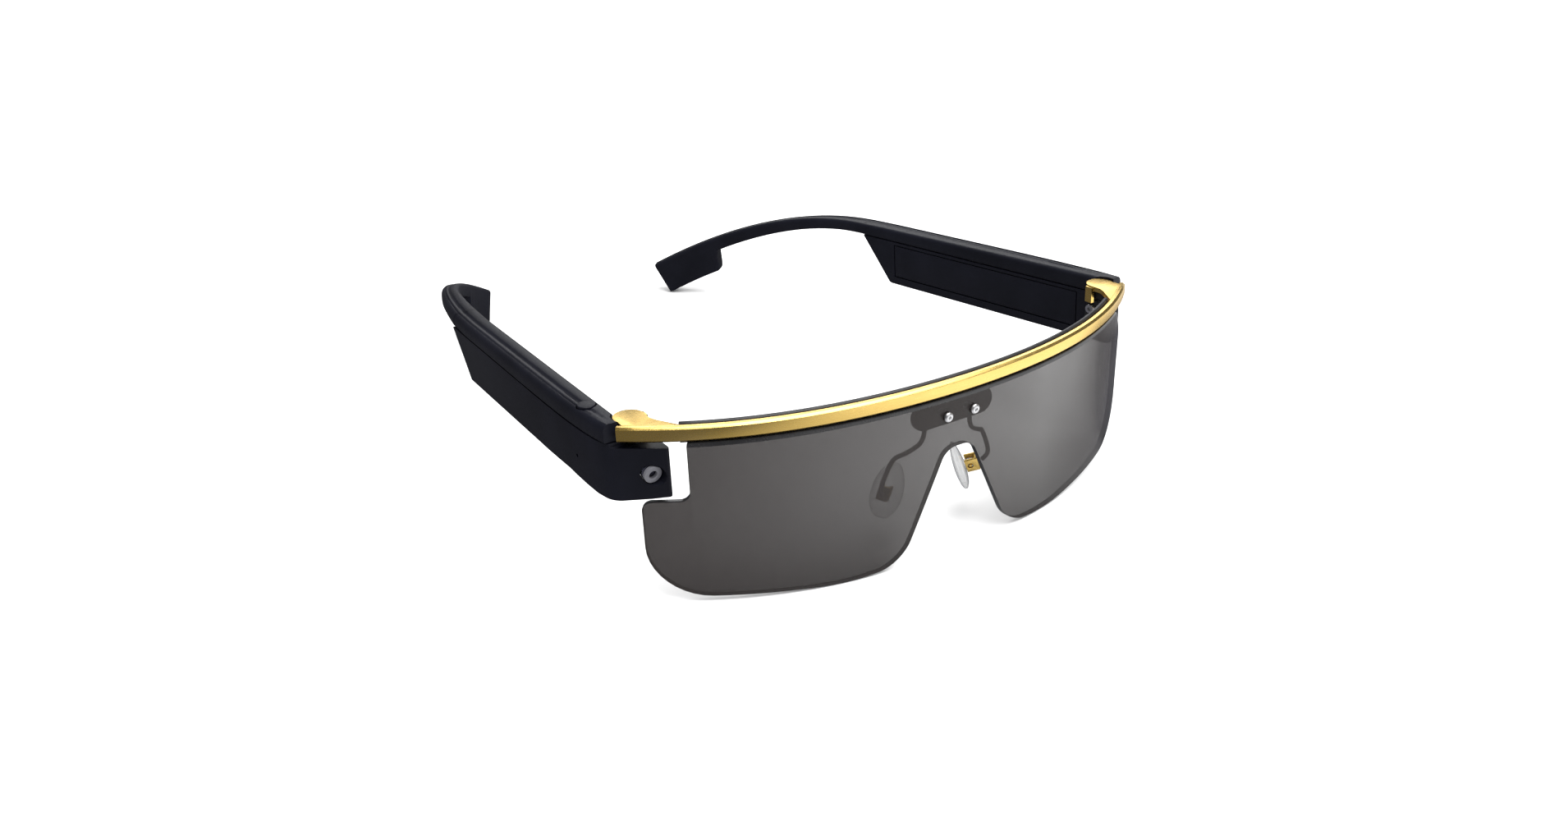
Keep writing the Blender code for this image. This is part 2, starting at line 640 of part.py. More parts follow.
def make_knuckle(side, mat, temple):
    """The temple's leaf: a steel knuckle round the pin, reaching out to the temple."""
    top = KNUCKLE_TOP
    low = top - KNUCKLE_HEIGHT
    axis = axis_point(1).normalized()
    place = outward(side)
    reach = TEMPLE_OFFSET - GAP
    outline = circle(KNUCKLE_RADIUS, 19, (0, 0), radians(52), radians(308))
    outline += [(reach, -KNUCKLE_ARM / 2), (reach, KNUCKLE_ARM / 2)]
    rings = []
    for height in (low, top):
        centre = axis_point(height)
        rings.append([place(a, b * cos(HINGE_LEAN), b * sin(HINGE_LEAN)) + centre
                      for a, b in outline])
    knuckle = loft("hinge_knuckle_" + side_name(side), rings, mat, temple)
    bore = rod("bore", axis_point(low - MM), axis_point(top + MM), PIN_RADIUS + GAP, None, temple)
    boolean(knuckle, bore)
    middle = axis_point((low + top) / 2 + GAP)
    hole = rod("hole", middle - place(CUT_REACH, 0, 0), middle - place(PIN_RADIUS, 0, 0),
               SET_SCREW_RADIUS + GAP, None, temple)
    return boolean(knuckle, hole)


def make_set_screw(side, mat, temple):
    """The socket screw in the inner side of the knuckle, which holds the pin."""
    place = outward(side)
    middle = axis_point(KNUCKLE_TOP - KNUCKLE_HEIGHT / 2 + GAP)
    head = middle - place(KNUCKLE_RADIUS + SET_SCREW_PROUD, 0, 0)
    tip = middle - place(PIN_RADIUS + GAP, 0, 0)
    screw = rod("hinge_screw_" + side_name(side), head, tip, SET_SCREW_RADIUS, mat, temple)
    socket = rod("socket", head - place(MM, 0, 0), head + place(SET_SCREW_RADIUS / 2, 0, 0),
                 SET_SCREW_SOCKET, None, temple, 6)
    return boolean(screw, socket)


# ================================ temples =======================================================
def outer_face(back):
    """Distance of the temple's outer face from the pin, which is slimmer at the very front."""
    full = TEMPLE_OFFSET + TEMPLE_WIDTH
    return full - FLARE * exp(-(back + FLARE_START) / FLARE_LENGTH)


def temple_centre(back):
    """Sideways place of the temple's middle: straight, then an arc in to the head."""
    run = max(back - CURVE_START, 0)
    return TEMPLE_OFFSET + TEMPLE_WIDTH / 2 - (CURVE_RADIUS - sqrt(CURVE_RADIUS ** 2 - run ** 2))


def temple_top(back):
    """Height of the temple's top: straight, then an arc down behind the ear."""
    straight = TEMPLE_TOP - TOP_FALL * min(back, DROP_START)
    run = max(back - DROP_START, 0)
    return straight - (DROP_RADIUS - sqrt(DROP_RADIUS ** 2 - run ** 2))


def neck_start():
    return POD_END + POD_SLANT


def slant_meet():
    """Where the pod's slanted rear end crosses the seam."""
    slant_top = temple_top(neck_start()) - NECK_DEPTH
    return POD_END + (SEAM + POD_BOTTOM) * POD_SLANT / (slant_top + POD_BOTTOM)


def mix(low, high, share):
    return low + (high - low) * min(max(share, 0), 1)


def temple_depth(back):
    """Height of the temple arm from its top to its underside."""
    meet = slant_meet()
    if back <= meet:
        return temple_top(back) - SEAM
    if back <= neck_start():
        full = temple_top(meet) - SEAM
        return mix(full, NECK_DEPTH, (back - meet) / (neck_start() - meet))
    slim = mix(NECK_DEPTH, NECK_END_DEPTH, (back - neck_start()) / (PADDLE_START - neck_start()))
    return mix(slim, PADDLE_DEPTH, (back - PADDLE_START) / PADDLE_STEP)


def temple_half_width(back):
    return mix(TEMPLE_WIDTH / 2, HOOK_WIDTH / 2, (back - neck_start()) / HOOK_TAPER)


def temple_stations():
    """Cross-section places along the temple."""
    front = [-TEMPLE_FRONT + step * MM for step in (0, 3, 7, 12, 18, 26)]
    pod = [mix(front[-1], POD_END, share) for share in (0.25, 0.5, 0.75, 1.0)]
    neck = [slant_meet(), neck_start()] + [mix(neck_start(), PADDLE_START, i / 8) for i in range(1, 9)]
    paddle = [PADDLE_START + PADDLE_STEP]
    paddle += [mix(paddle[0], TEMPLE_LENGTH, i / 5) for i in range(1, 6)]
    return front + pod + neck + paddle


def temple_section(back):
    """Chamfered ring across the arm, square to its path."""
    def middle(at):
        return Vector((temple_centre(at), at, temple_top(at)))
    step = 0.5 * MM
    along = (middle(back + step) - middle(back - step)).normalized()
    out = along.cross(Vector((0, 0, 1))).normalized()
    down = out.cross(along).normalized()
    if down.z > 0:
        down = -down
    if back <= POD_END + POD_SLANT:
        down = Vector((0, 0, -1))
    half = temple_half_width(back)
    outer = half
    if back < POD_END:
        outer = outer_face(back) - temple_centre(back)
    depth = temple_depth(back)
    top_cut = min(EDGE_CHAMFER, 0.3 * depth)
    low_cut = mix(SEAM_CHAMFER, HOOK_CHAMFER, (back - neck_start()) / FLARE_LENGTH)
    corners = [(-half + top_cut, 0), (outer - top_cut, 0), (outer, top_cut),
               (outer, depth - low_cut), (outer - low_cut, depth), (-half + low_cut, depth),
               (-half, depth - low_cut), (-half, top_cut)]
    return [middle(back) + out * a + down * b for a, b in corners]


def make_arm(side, mat, temple):
    """The arm: top of the pod, slim neck, and the paddle behind the ear, in one piece."""
    rings = []
    for back in temple_stations():
        rings.append([Vector((side * p.x, p.y, p.z)) for p in temple_section(back)])
    arm = loft("temple_arm_" + side_name(side), rings, mat, temple, 30)
    socket = rod("socket", axis_point(-CUT_REACH), axis_point(CUT_REACH), LOBE_RADIUS + TURN_GAP,
                 None, temple, 40)
    boolean(arm, socket)
    if side == RIGHT:
        top = temple_top(BUTTON_BACK)
        place = outward(side)
        depth = BUTTON_LENGTH + BUTTON_TRAVEL + SWITCH_HEIGHT + 2 * GAP
        well = rod("well", place(BUTTON_SIDE, BUTTON_BACK, top + CUT_REACH),
                   place(BUTTON_SIDE, BUTTON_BACK, top - depth), BUTTON_RADIUS + GAP, None, temple, 32)
        boolean(arm, well)
    return arm


def pod_outline(side):
    """Plan outline of the pod as (out, back) pairs; the right one has the camera nose."""
    rear = POD_END + POD_SLANT
    outer = [(outer_face(back * MM), back * MM) for back in (-1, 2, 6, 11, 17, 25)]
    outer += [(TEMPLE_OFFSET + TEMPLE_WIDTH, rear), (TEMPLE_OFFSET, rear)]
    if side == LEFT:
        start = -TEMPLE_FRONT
        return [(TEMPLE_OFFSET, start), (outer_face(start), start)] + outer
    nose = []
    for out in (-NOSE_INNER, 0, 0.6 * NOSE_CORNER_RUN, NOSE_CORNER_RUN):
        point = front_point(PIN_X + out, NOSE_SET_BACK, 0)
        nose.append((point.x - PIN_X, point.y - PIN_Y))
    last = nose[-1]
    turn = (last[0] + NOSE_CORNER_RUN / 6, last[1] + NOSE_CORNER_RUN / 4)
    nose += [turn, (outer_face(-4 * MM), -4 * MM)]
    rear_y = nose[0][1] + NOSE_DEPTH
    step = [(TEMPLE_OFFSET, rear_y), (nose[0][0], rear_y)]
    return nose + outer + step


def drop_chin(bm, low):
    """Slopes the underside of the camera nose down to its outer front corner."""
    slope = Vector((RIGHT * CHIN_SIDE, -CHIN_BACK, 0))
    everything = bm.verts[:] + bm.edges[:] + bm.faces[:]
    bmesh.ops.bisect_plane(bm, geom=everything, plane_co=(0, 0, 0), plane_no=slope)
    for vert in bm.verts:
        if abs(vert.co.z + low) < GAP:
            vert.co.z -= max(vert.co.dot(slope), 0)


def pod_body(side, mat, temple):
    """The pod's outer shape, before it is hollowed."""
    name = "pod_shell_" + side_name(side)
    bm = bmesh.new()
    place = outward(side)
    pod_low = POD_BOTTOM + (LEFT_POD_DEEPER if side == LEFT else 0)
    base = [bm.verts.new(place(a, b, -pod_low)) for a, b in pod_outline(side)]
    face = bm.faces.new(base)
    raised = bmesh.ops.extrude_face_region(bm, geom=[face])
    top = [v for v in raised["geom"] if isinstance(v, bmesh.types.BMVert)]
    bmesh.ops.translate(bm, verts=top, vec=(0, 0, pod_low + SEAM - GAP))
    if side == RIGHT:
        drop_chin(bm, pod_low)
    bmesh.ops.recalc_face_normals(bm, faces=bm.faces)
    rim = [e for e in bm.edges if sum(face.normal.z < -0.9 for face in e.link_faces) == 1]
    bmesh.ops.bevel(bm, geom=rim, offset=POD_ROUND, segments=2, profile=0.5, affect="EDGES")
    body = finish_mesh(bm, name, mat, temple)
    rear = neck_start()
    slant_top = temple_top(rear) - NECK_DEPTH
    front = -TEMPLE_FRONT - GAP
    far = rear + CUT_REACH
    under = -pod_low - CUT_REACH
    nose_top = [(-CUT_REACH, -NOSE_TOP_GAP), (front, -NOSE_TOP_GAP), (front, CUT_REACH),
                (-CUT_REACH, CUT_REACH)]
    foot = POD_END - (pod_low - POD_BOTTOM) * POD_SLANT / (slant_top + POD_BOTTOM)
    slant = [(foot, -pod_low), (rear, slant_top), (far, slant_top), (far, under),
             (foot - MM, under)]
    for outline in (nose_top, slant):
        cutter = prism("cutter", outline, lambda a, b, c: place(c, a, b),
                       -CUT_REACH, 2 * CUT_REACH, None, temple)
        boolean(body, cutter)
    return body


def cover_outline(margin):
    """Side outline of the inner cover as (back, up) pairs."""
    low = -POD_BOTTOM + COVER_MARGIN
    start, end = COVER_START, COVER_END
    return [(start - margin, low - margin), (end + margin, low - margin),
            (end + margin, SEAM - COVER_MARGIN - GAP + margin),
            (start - margin, SEAM - COVER_MARGIN - GAP + margin)]


def make_cover(side, mat, temple):
    place = outward(side)
    return prism("pod_cover_" + side_name(side), cover_outline(0), lambda a, b, c: place(c, a, b),
                 TEMPLE_OFFSET, TEMPLE_OFFSET + COVER_THICKNESS, mat, temple)


def cavity_side():
    """Inner and outer sides of the pod's cavity, out from the pin."""
    inner = TEMPLE_OFFSET + COVER_THICKNESS + GAP
    return inner, TEMPLE_OFFSET + TEMPLE_WIDTH - POD_WALL


def make_pod(side, mat, temple):
    """The pod's shell, open to the inner cover, with its holes."""
    pod = pod_body(side, mat, temple)
    place = outward(side)
    inner, outer = cavity_side()
    recess = prism("recess", cover_outline(GAP), lambda a, b, c: place(c, a, b),
                   TEMPLE_OFFSET - MM, inner, None, temple)
    boolean(pod, recess)
    near = outer_face(COVER_START) - POD_WALL
    low = -POD_BOTTOM + COVER_MARGIN + LEDGE
    top = SEAM - COVER_MARGIN - GAP - LEDGE
    start, end = COVER_START + LEDGE, COVER_END - LEDGE
    plan = [(inner - GAP, start), (near, start), (outer, start + FLARE_LENGTH), (outer, end),
            (inner - GAP, end)]
    boolean(pod, prism("cavity", plan, place, low, top, None, temple))
    if side == RIGHT:
        cut_camera_bore(pod, temple)
        cut_mic_hole(pod, temple)
        cut_usb_opening(pod, temple)
    return pod


# ================================ camera, switch and electronics ================================
def camera_axis():
    """Centre of the camera on the nose's face, and the direction that it looks."""
    face = front_point(PIN_X - CAMERA_INSET, NOSE_SET_BACK, 0)
    centre = Vector((CAMERA_INSET, face.y - PIN_Y, -CAMERA_HEIGHT))
    return centre, Vector((0, -cos(CAMERA_DOWN), -sin(CAMERA_DOWN)))


def camera_depth():
    """Length of the bore behind the middle of the face."""
    return NOSE_DEPTH - NOSE_WALL


def cut_camera_bore(pod, temple):
    centre, look = camera_axis()
    bore = rod("bore", centre + look * CUT_REACH, centre - look * camera_depth(), CAMERA_BORE,
               None, temple, 32)
    boolean(pod, bore)


def cut_mic_hole(pod, temple):
    place = outward(RIGHT)
    start = place(TEMPLE_OFFSET + TEMPLE_WIDTH / 2, MIC_BACK, -MIC_HEIGHT)
    hole = rod("hole", start, start + place(CUT_REACH, 0, 0), MIC_HOLE, None, temple, 12)
    boolean(pod, hole)


def board_span():
    """Front and rear ends of the boards, which start behind the microphone."""
    start = MIC_BACK + MIC_RADIUS + GAP
    return start, start + BOARD_LENGTH


def usb_box():
    """Corners of the USB socket as (out, back, up)."""
    inner, outer = cavity_side()
    middle = (inner + outer) / 2
    half = min(USB_WIDTH, outer - inner - GAP) / 2
    start = board_span()[1] + GAP + MM
    low = -POD_BOTTOM + USB_SINK
    return (middle - half, start, low), (middle + half, start + USB_LENGTH, low + USB_HEIGHT)


def cut_usb_opening(pod, temple):
    low, high = usb_box()
    cutter = block("opening", (-high[0] - GAP, low[1] - GAP, low[2] - CUT_REACH),
                   (-low[0] + GAP, high[1] + GAP, -POD_BOTTOM + POD_WALL + MM), None, temple)
    boolean(pod, cutter)


def make_usb(mat, temple):
    low, high = usb_box()
    socket = block("usb_socket", (-high[0], low[1], low[2]), (-low[0], high[1], high[2]), mat, temple)
    hollow = block("hollow", (-high[0] + USB_WALL, low[1] + USB_WALL, low[2] - MM),
                   (-low[0] - USB_WALL, high[1] - USB_WALL, high[2] - USB_WALL), None, temple)
    return boolean(socket, hollow)


def make_camera(ring_mat, glass_mat, barrel_mat, temple):
    """Ring, cover glass and lens barrel, one behind the other in the bore."""
    centre, look = camera_axis()
    radius = CAMERA_BORE - GAP

    def disc(name, start, end, mat):
        return rod(name, centre - look * start, centre - look * end, radius, mat, temple, 32)

    ring_end = CAMERA_SINK + CAMERA_RING_LENGTH
    ring = disc("camera_ring", CAMERA_SINK, ring_end, ring_mat)
    hole = rod("hole", centre + look * CUT_REACH, centre - look * CUT_REACH, CAMERA_RING_HOLE,
               None, temple, 24)
    boolean(ring, hole)
    glass_end = ring_end + GAP + CAMERA_GLASS_LENGTH
    disc("camera_glass", ring_end + GAP, glass_end, glass_mat)
    disc("camera_barrel", glass_end + GAP, camera_depth() - GAP, barrel_mat)


def make_button(cap_mat, switch_mat, temple, cap_parent):
    place = outward(RIGHT)
    top = temple_top(BUTTON_BACK) + BUTTON_PROUD
    base = top - BUTTON_LENGTH
    offset = place(BUTTON_SIDE, BUTTON_BACK, top)
    cap_parent.location = offset
    rod("record_button", (0, 0, 0), (0, 0, -BUTTON_LENGTH), BUTTON_RADIUS, cap_mat, cap_parent, 32)
    switch_top = base - BUTTON_TRAVEL - GAP / 2
    half = 0.62 * BUTTON_RADIUS
    block("button_switch", (offset.x - half, offset.y - half, switch_top - SWITCH_HEIGHT),
          (offset.x + half, offset.y + half, switch_top), switch_mat, temple)


def make_electronics(mats, right, left):
    """Boards and cells in the pods' cavities."""
    inner, outer = cavity_side()
    low = -POD_BOTTOM + COVER_MARGIN + LEDGE + GAP
    top = SEAM - COVER_MARGIN - LEDGE - 2 * GAP
    start, board_end = board_span()
    last = COVER_END - LEDGE - GAP
    board_x = (inner + GAP / 3, inner + GAP / 3 + BOARD_THICKNESS)
    cell_x = (inner + GAP / 3, outer - GAP)

    def fit(name, side, temple, sides, span, mat, rise=(low, top)):
        xs = sorted((side * sides[0], side * sides[1]))
        return block(name, (xs[0], span[0], rise[0]), (xs[1], span[1], rise[1]), mat, temple)

    fit("main_board", RIGHT, right, board_x, (start, board_end), mats["board"])
    chip_x = (board_x[1] + GAP / 3, board_x[1] + GAP / 3 + CHIP_THICKNESS)
    fit("image_chip", RIGHT, right, chip_x, (board_end - CHIP_LENGTH - 4 * MM, board_end - 4 * MM),
        mats["chip"], (low + 0.6 * MM, top - GAP))
    usb_end = usb_box()[1][1] + MM
    fit("battery_right", RIGHT, right, cell_x, (usb_end, min(last, usb_end + BATTERY_LENGTH)),
        mats["battery"])
    fit("power_board", LEFT, left, board_x, (start, board_end), mats["board"])
    fit("battery_left", LEFT, left, cell_x,
        (board_end + MM, min(last, board_end + MM + 1.5 * BATTERY_LENGTH)), mats["battery"])


def make_microphone(mat, right):
    """Sits on the inside of the pod's outer wall, behind its hole."""
    inner, outer = cavity_side()
    share = (MIC_BACK - COVER_START - LEDGE) / FLARE_LENGTH
    wall = mix(outer_face(COVER_START) - POD_WALL, outer, share) - GAP
    place = outward(RIGHT)
    rod("microphone", place(wall, MIC_BACK, -MIC_HEIGHT),
        place(wall - MIC_THICKNESS, MIC_BACK, -MIC_HEIGHT), MIC_RADIUS, mat, right, 20)


# ================================ assembly ======================================================
def materials():
    return {
        "gold": material("gold", (0.83, 0.60, 0.24), 0.28, 1.0),
        "liner": material("liner_black", (0.02, 0.02, 0.022), 0.45),
        "lens": material("smoke_lens", (0.12, 0.11, 0.11), 0.06, 0.0, 0.75),
        "shell": material("soft_black", (0.012, 0.013, 0.018), 0.62),
        "steel": material("steel", (0.62, 0.62, 0.64), 0.3, 1.0),
        "dark_steel": material("dark_steel", (0.03, 0.03, 0.034), 0.4, 0.6),
        "wire": material("wire", (0.16, 0.15, 0.15), 0.35, 0.8),
        "pad": material("clear_silicone", (0.9, 0.9, 0.88), 0.2, 0.0, 0.45),
        "glass": material("camera_glass", (0.02, 0.02, 0.03), 0.04),
        "ring": material("camera_ring", (0.25, 0.26, 0.28), 0.35, 0.5),
        "board": material("board_green", (0.02, 0.16, 0.07), 0.5),
        "chip": material("chip_black", (0.03, 0.03, 0.03), 0.4),
        "battery": material("battery_wrap", (0.35, 0.36, 0.38), 0.4, 0.3),
    }


def make_front(mats, stand):
    make_brow_trim(mats["gold"], stand)
    make_front_frame(mats["liner"], stand)
    make_lens(mats["lens"], stand)
    make_bracket(mats["dark_steel"], stand)
    for side in (RIGHT, LEFT):
        make_bracket_screw(side, mats["steel"], stand)
        make_pad_wire(side, mats["wire"], stand)
        make_pad_box(side, mats["gold"], stand)
        make_pad_screw(side, mats["gold"], stand)
        make_tongue(side, mats["dark_steel"], stand)
        make_pin(side, mats["steel"], stand)


def make_pads(mats, stand):
    for side in (RIGHT, LEFT):
        pivot = pad_pivot(side)
        holder = empty("pad_pivot_" + side_name(side), stand, pivot)
        pad = make_pad(side, mats["pad"], holder)
        pad.data.transform(Matrix.Translation(-pivot))


def make_temple(side, mats, stand):
    temple = empty("hinge_" + side_name(side), stand, (side * PIN_X, PIN_Y, 0))
    make_arm(side, mats["shell"], temple)
    make_pod(side, mats["shell"], temple)
    make_cover(side, mats["shell"], temple)
    make_knuckle(side, mats["dark_steel"], temple)
    make_set_screw(side, mats["steel"], temple)
    return temple


def lowest_after(objects, tilt):
    """Lowest height of some objects once the frame is tilted about X."""
    turn = Matrix.Rotation(tilt, 4, "X")
    return min((turn @ obj.matrix_world @ v.co).z for obj in objects for v in obj.data.vertices)


def set_down(stand):
    """Tilts the frame until lens and ear hooks touch the same plane, and centres it on z = 0."""
    bpy.context.view_layer.update()
    fronts = [bpy.data.objects["shield_lens"]]
    rears = [bpy.data.objects["temple_arm_" + side_name(side)] for side in (RIGHT, LEFT)]
    low, high = radians(-20), radians(20)
    for _ in range(40):
        tilt = (low + high) / 2
        if lowest_after(rears, tilt) > lowest_after(fronts, tilt):
            high = tilt
        else:
            low = tilt
    stand.rotation_euler = (tilt, 0, 0)
    bpy.context.view_layer.update()
    corners = [obj.matrix_world @ v.co for obj in bpy.data.objects if obj.type == "MESH"
               for v in obj.data.vertices]
    middle = [(min(p[i] for p in corners) + max(p[i] for p in corners)) / 2 for i in (0, 1)]
    stand.location = (-middle[0], -middle[1], -min(p.z for p in corners))
    bpy.context.view_layer.update()


def main():
    clear_scene()
    mats = materials()
    stand = empty("stand")
    make_front(mats, stand)
    make_pads(mats, stand)
    right = make_temple(RIGHT, mats, stand)
    left = make_temple(LEFT, mats, stand)
    make_camera(mats["ring"], mats["glass"], mats["chip"], right)
    button = empty("button_axis", right)
    make_button(mats["shell"], mats["chip"], right, button)
    make_usb(mats["steel"], right)
    make_electronics(mats, right, left)
    make_microphone(mats["chip"], right)
    axis = Vector((0, -sin(HINGE_LEAN), cos(HINGE_LEAN)))
    left.rotation_mode = "QUATERNION"
    left.rotation_quaternion = Matrix.Rotation(LEFT_REST_FOLD, 3, axis).to_quaternion()
    set_down(stand)


main()
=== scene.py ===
"""Smart glasses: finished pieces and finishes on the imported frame, with floor, light and camera."""
from math import cos, exp, pi, radians, sin, sqrt, tan

import bmesh
import bpy
from mathutils import Matrix, Vector


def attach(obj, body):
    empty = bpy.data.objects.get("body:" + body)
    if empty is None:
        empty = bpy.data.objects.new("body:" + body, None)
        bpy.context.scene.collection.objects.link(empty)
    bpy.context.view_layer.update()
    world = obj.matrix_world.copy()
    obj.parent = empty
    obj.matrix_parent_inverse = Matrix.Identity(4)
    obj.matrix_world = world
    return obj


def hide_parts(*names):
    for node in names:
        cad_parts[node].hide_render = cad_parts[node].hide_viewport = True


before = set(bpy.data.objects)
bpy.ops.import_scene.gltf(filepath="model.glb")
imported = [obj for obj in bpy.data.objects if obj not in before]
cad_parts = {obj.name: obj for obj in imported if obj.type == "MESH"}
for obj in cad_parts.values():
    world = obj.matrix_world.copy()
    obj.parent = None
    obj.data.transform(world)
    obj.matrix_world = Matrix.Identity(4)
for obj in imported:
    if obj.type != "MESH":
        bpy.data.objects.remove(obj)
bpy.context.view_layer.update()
MM = 0.001

# ==== View ======================================================================================
# Looks down at the glasses from the wearer's front right, a little over the brow bar.
camera_data = bpy.data.cameras.new("camera")
camera_data.lens = 29.7646
camera_data.sensor_width = 36.0
camera_data.clip_start = 0.01
camera = bpy.data.objects.new("camera", camera_data)
bpy.context.scene.collection.objects.link(camera)
camera.rotation_mode = "QUATERNION"
camera.location = (-0.165716, -0.281881, 0.167587)
camera.rotation_quaternion = (0.822402, 0.49604, -0.142371, -0.239435)
bpy.context.scene.camera = camera

# ==== Brow bar ==================================================================================
# One gold anodised aluminium bar, bent round the face, with a hinge plate at each end.  Its edges
# are chamfered and then tumbled, so they catch a thin line of light.
BAR_HALF = 72 * MM
FRONT_BOW = 0.2182                      # the bow at the tips, in half widths
FRONT_WRAP = 0.0941                     # and how much faster it turns back near them
STAND_LEAN = radians(-3.7342)           # the glasses stand on the lens and the paddles
STAND_PLACE = (0.604 * MM, -90.581 * MM, 39.365 * MM)
STAND = Matrix.Translation(STAND_PLACE) @ Matrix.Rotation(STAND_LEAN, 4, "X")
BAR_EDGE = 0.12 * MM
GOLD_SHARP = 25                         # degrees; the bar's chamfers are shallower than most edges
RELIEF_HEIGHT = 0.1 * MM
PATCH_RANGE = (0.35, 0.65)              # noise values at which a patch is all one colour or other
GRAIN_RANGE = (0.3, 0.7)
CAD_WELD = 0.002 * MM
PIECE_WELD = 0.0005 * MM
FLAT = radians(0.5)                     # faces within this angle are one face


def bow_place(x, depth, z):
    """A point of the flat front, bent round the face: x along it, depth behind its front face."""
    share = x / BAR_HALF
    slope = 2 * FRONT_BOW * share + 4 * FRONT_WRAP * share ** 3
    size = sqrt(1 + slope * slope)
    back = BAR_HALF * (FRONT_BOW * share ** 2 + FRONT_WRAP * share ** 4)
    return Vector((x - depth * slope / size, back + depth / size, z))


def surface_grain():
    """Fine relief and broad patches, from a position; sizes are in metres."""
    group = bpy.data.node_groups.new("surface_grain", "ShaderNodeTree")
    face = group.interface
    face.new_socket("Position", in_out="INPUT", socket_type="NodeSocketVector")
    for label in ("Grain", "Patch"):
        face.new_socket(label, in_out="INPUT", socket_type="NodeSocketFloat")
    for label in ("Relief", "Patches"):
        face.new_socket(label, in_out="OUTPUT", socket_type="NodeSocketFloat")
    nodes, links = group.nodes, group.links
    start, end = nodes.new("NodeGroupInput"), nodes.new("NodeGroupOutput")
    for size_name, out_name, detail in (("Grain", "Relief", 2.0), ("Patch", "Patches", 4.0)):
        scale = nodes.new("ShaderNodeMath")
        scale.operation = "DIVIDE"
        scale.inputs[0].default_value = 1.0
        links.new(start.outputs[size_name], scale.inputs[1])
        noise = nodes.new("ShaderNodeTexNoise")
        noise.inputs["Detail"].default_value = detail
        links.new(start.outputs["Position"], noise.inputs["Vector"])
        links.new(scale.outputs[0], noise.inputs["Scale"])
        links.new(noise.outputs["Fac"], end.inputs[out_name])
    return group


GRAIN = surface_grain()


def finish(name, colour, patch_colour, roughness, grain=0.25 * MM, patch=6 * MM, relief=0.15,
           stretch=(1, 1, 1), **shader_values):
    """A finish with fine relief and soft patches of a second colour; roughness is (low, high)."""
    mat = bpy.data.materials.new(name)
    mat.use_nodes = True
    nodes, links = mat.node_tree.nodes, mat.node_tree.links
    shader = nodes["Principled BSDF"]
    for label, value in shader_values.items():
        shader.inputs[label.replace("_", " ")].default_value = value
    place = nodes.new("ShaderNodeTexCoord")
    mapping = nodes.new("ShaderNodeMapping")
    mapping.inputs["Scale"].default_value = stretch
    links.new(place.outputs["Object"], mapping.inputs["Vector"])
    detail = nodes.new("ShaderNodeGroup")
    detail.node_tree = GRAIN
    detail.inputs["Grain"].default_value = grain
    detail.inputs["Patch"].default_value = patch
    links.new(mapping.outputs[0], detail.inputs["Position"])
    mix = nodes.new("ShaderNodeMix")
    mix.data_type = "RGBA"
    mix.inputs[6].default_value = (*colour, 1)
    mix.inputs[7].default_value = (*patch_colour, 1)
    spread = nodes.new("ShaderNodeMapRange")
    spread.inputs["From Min"].default_value = PATCH_RANGE[0]
    spread.inputs["From Max"].default_value = PATCH_RANGE[1]
    links.new(detail.outputs["Patches"], spread.inputs["Value"])
    links.new(spread.outputs[0], mix.inputs[0])
    links.new(mix.outputs[2], shader.inputs["Base Color"])
    rough = nodes.new("ShaderNodeMapRange")
    rough.inputs["From Min"].default_value = GRAIN_RANGE[0]
    rough.inputs["From Max"].default_value = GRAIN_RANGE[1]
    rough.inputs["To Min"].default_value = roughness[0]
    rough.inputs["To Max"].default_value = roughness[1]
    links.new(detail.outputs["Relief"], rough.inputs["Value"])
    links.new(rough.outputs[0], shader.inputs["Roughness"])
    bump = nodes.new("ShaderNodeBump")
    bump.inputs["Strength"].default_value = relief
    bump.inputs["Distance"].default_value = RELIEF_HEIGHT
    links.new(detail.outputs["Relief"], bump.inputs["Height"])
    links.new(bump.outputs[0], shader.inputs["Normal"])
    return mat


def cad_copy(node):
    """A welded copy of a CAD node's mesh, with each flat face in one piece again."""
    bm = bmesh.new()
    bm.from_mesh(bpy.data.objects[node].data)
    bmesh.ops.remove_doubles(bm, verts=bm.verts, dist=CAD_WELD)
    bmesh.ops.dissolve_limit(bm, angle_limit=FLAT, verts=bm.verts, edges=bm.edges)
    return bm


def round_edges(bm, width, angle=28, segments=3):
    """Rounds every edge that is sharper than the angle."""
    crisp = [e for e in bm.edges if e.is_manifold and e.calc_face_angle() > radians(angle)]
    bmesh.ops.bevel(bm, geom=crisp, offset=width, offset_type="OFFSET", segments=segments,
                    profile=0.5, affect="EDGES", clamp_overlap=True, material=-1)


def make_piece(bm, name, body, materials, nodes, sharp=40):
    """Turns a bmesh into a smooth piece that rides on a body and stands for some CAD nodes."""
    bmesh.ops.remove_doubles(bm, verts=bm.verts, dist=PIECE_WELD)
    bmesh.ops.recalc_face_normals(bm, faces=bm.faces)
    mesh = bpy.data.meshes.new(name)
    bm.to_mesh(mesh)
    bm.free()
    mesh.shade_smooth()
    mesh.set_sharp_from_angle(angle=radians(sharp))
    piece = bpy.data.objects.new(name, mesh)
    bpy.context.scene.collection.objects.link(piece)
    for mat in materials:
        mesh.materials.append(mat)
    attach(piece, body)
    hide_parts(*nodes)
    return piece


def softened(node, body, mat, width, angle=28, segments=3):
    """A CAD node's shape with rounded edges and its own finish."""
    bm = cad_copy(node)
    round_edges(bm, width, angle, segments)
    return make_piece(bm, node + "_finished", body, [mat], (node,))


gold = finish("gold_anodised", (0.82, 0.555, 0.145), (0.86, 0.61, 0.20), (0.24, 0.34),
              grain=0.22 * MM, patch=9 * MM, relief=0.025, stretch=(0.05, 1, 1), Metallic=1.0)
softened("brow_trim", "front", gold, BAR_EDGE, angle=GOLD_SHARP)

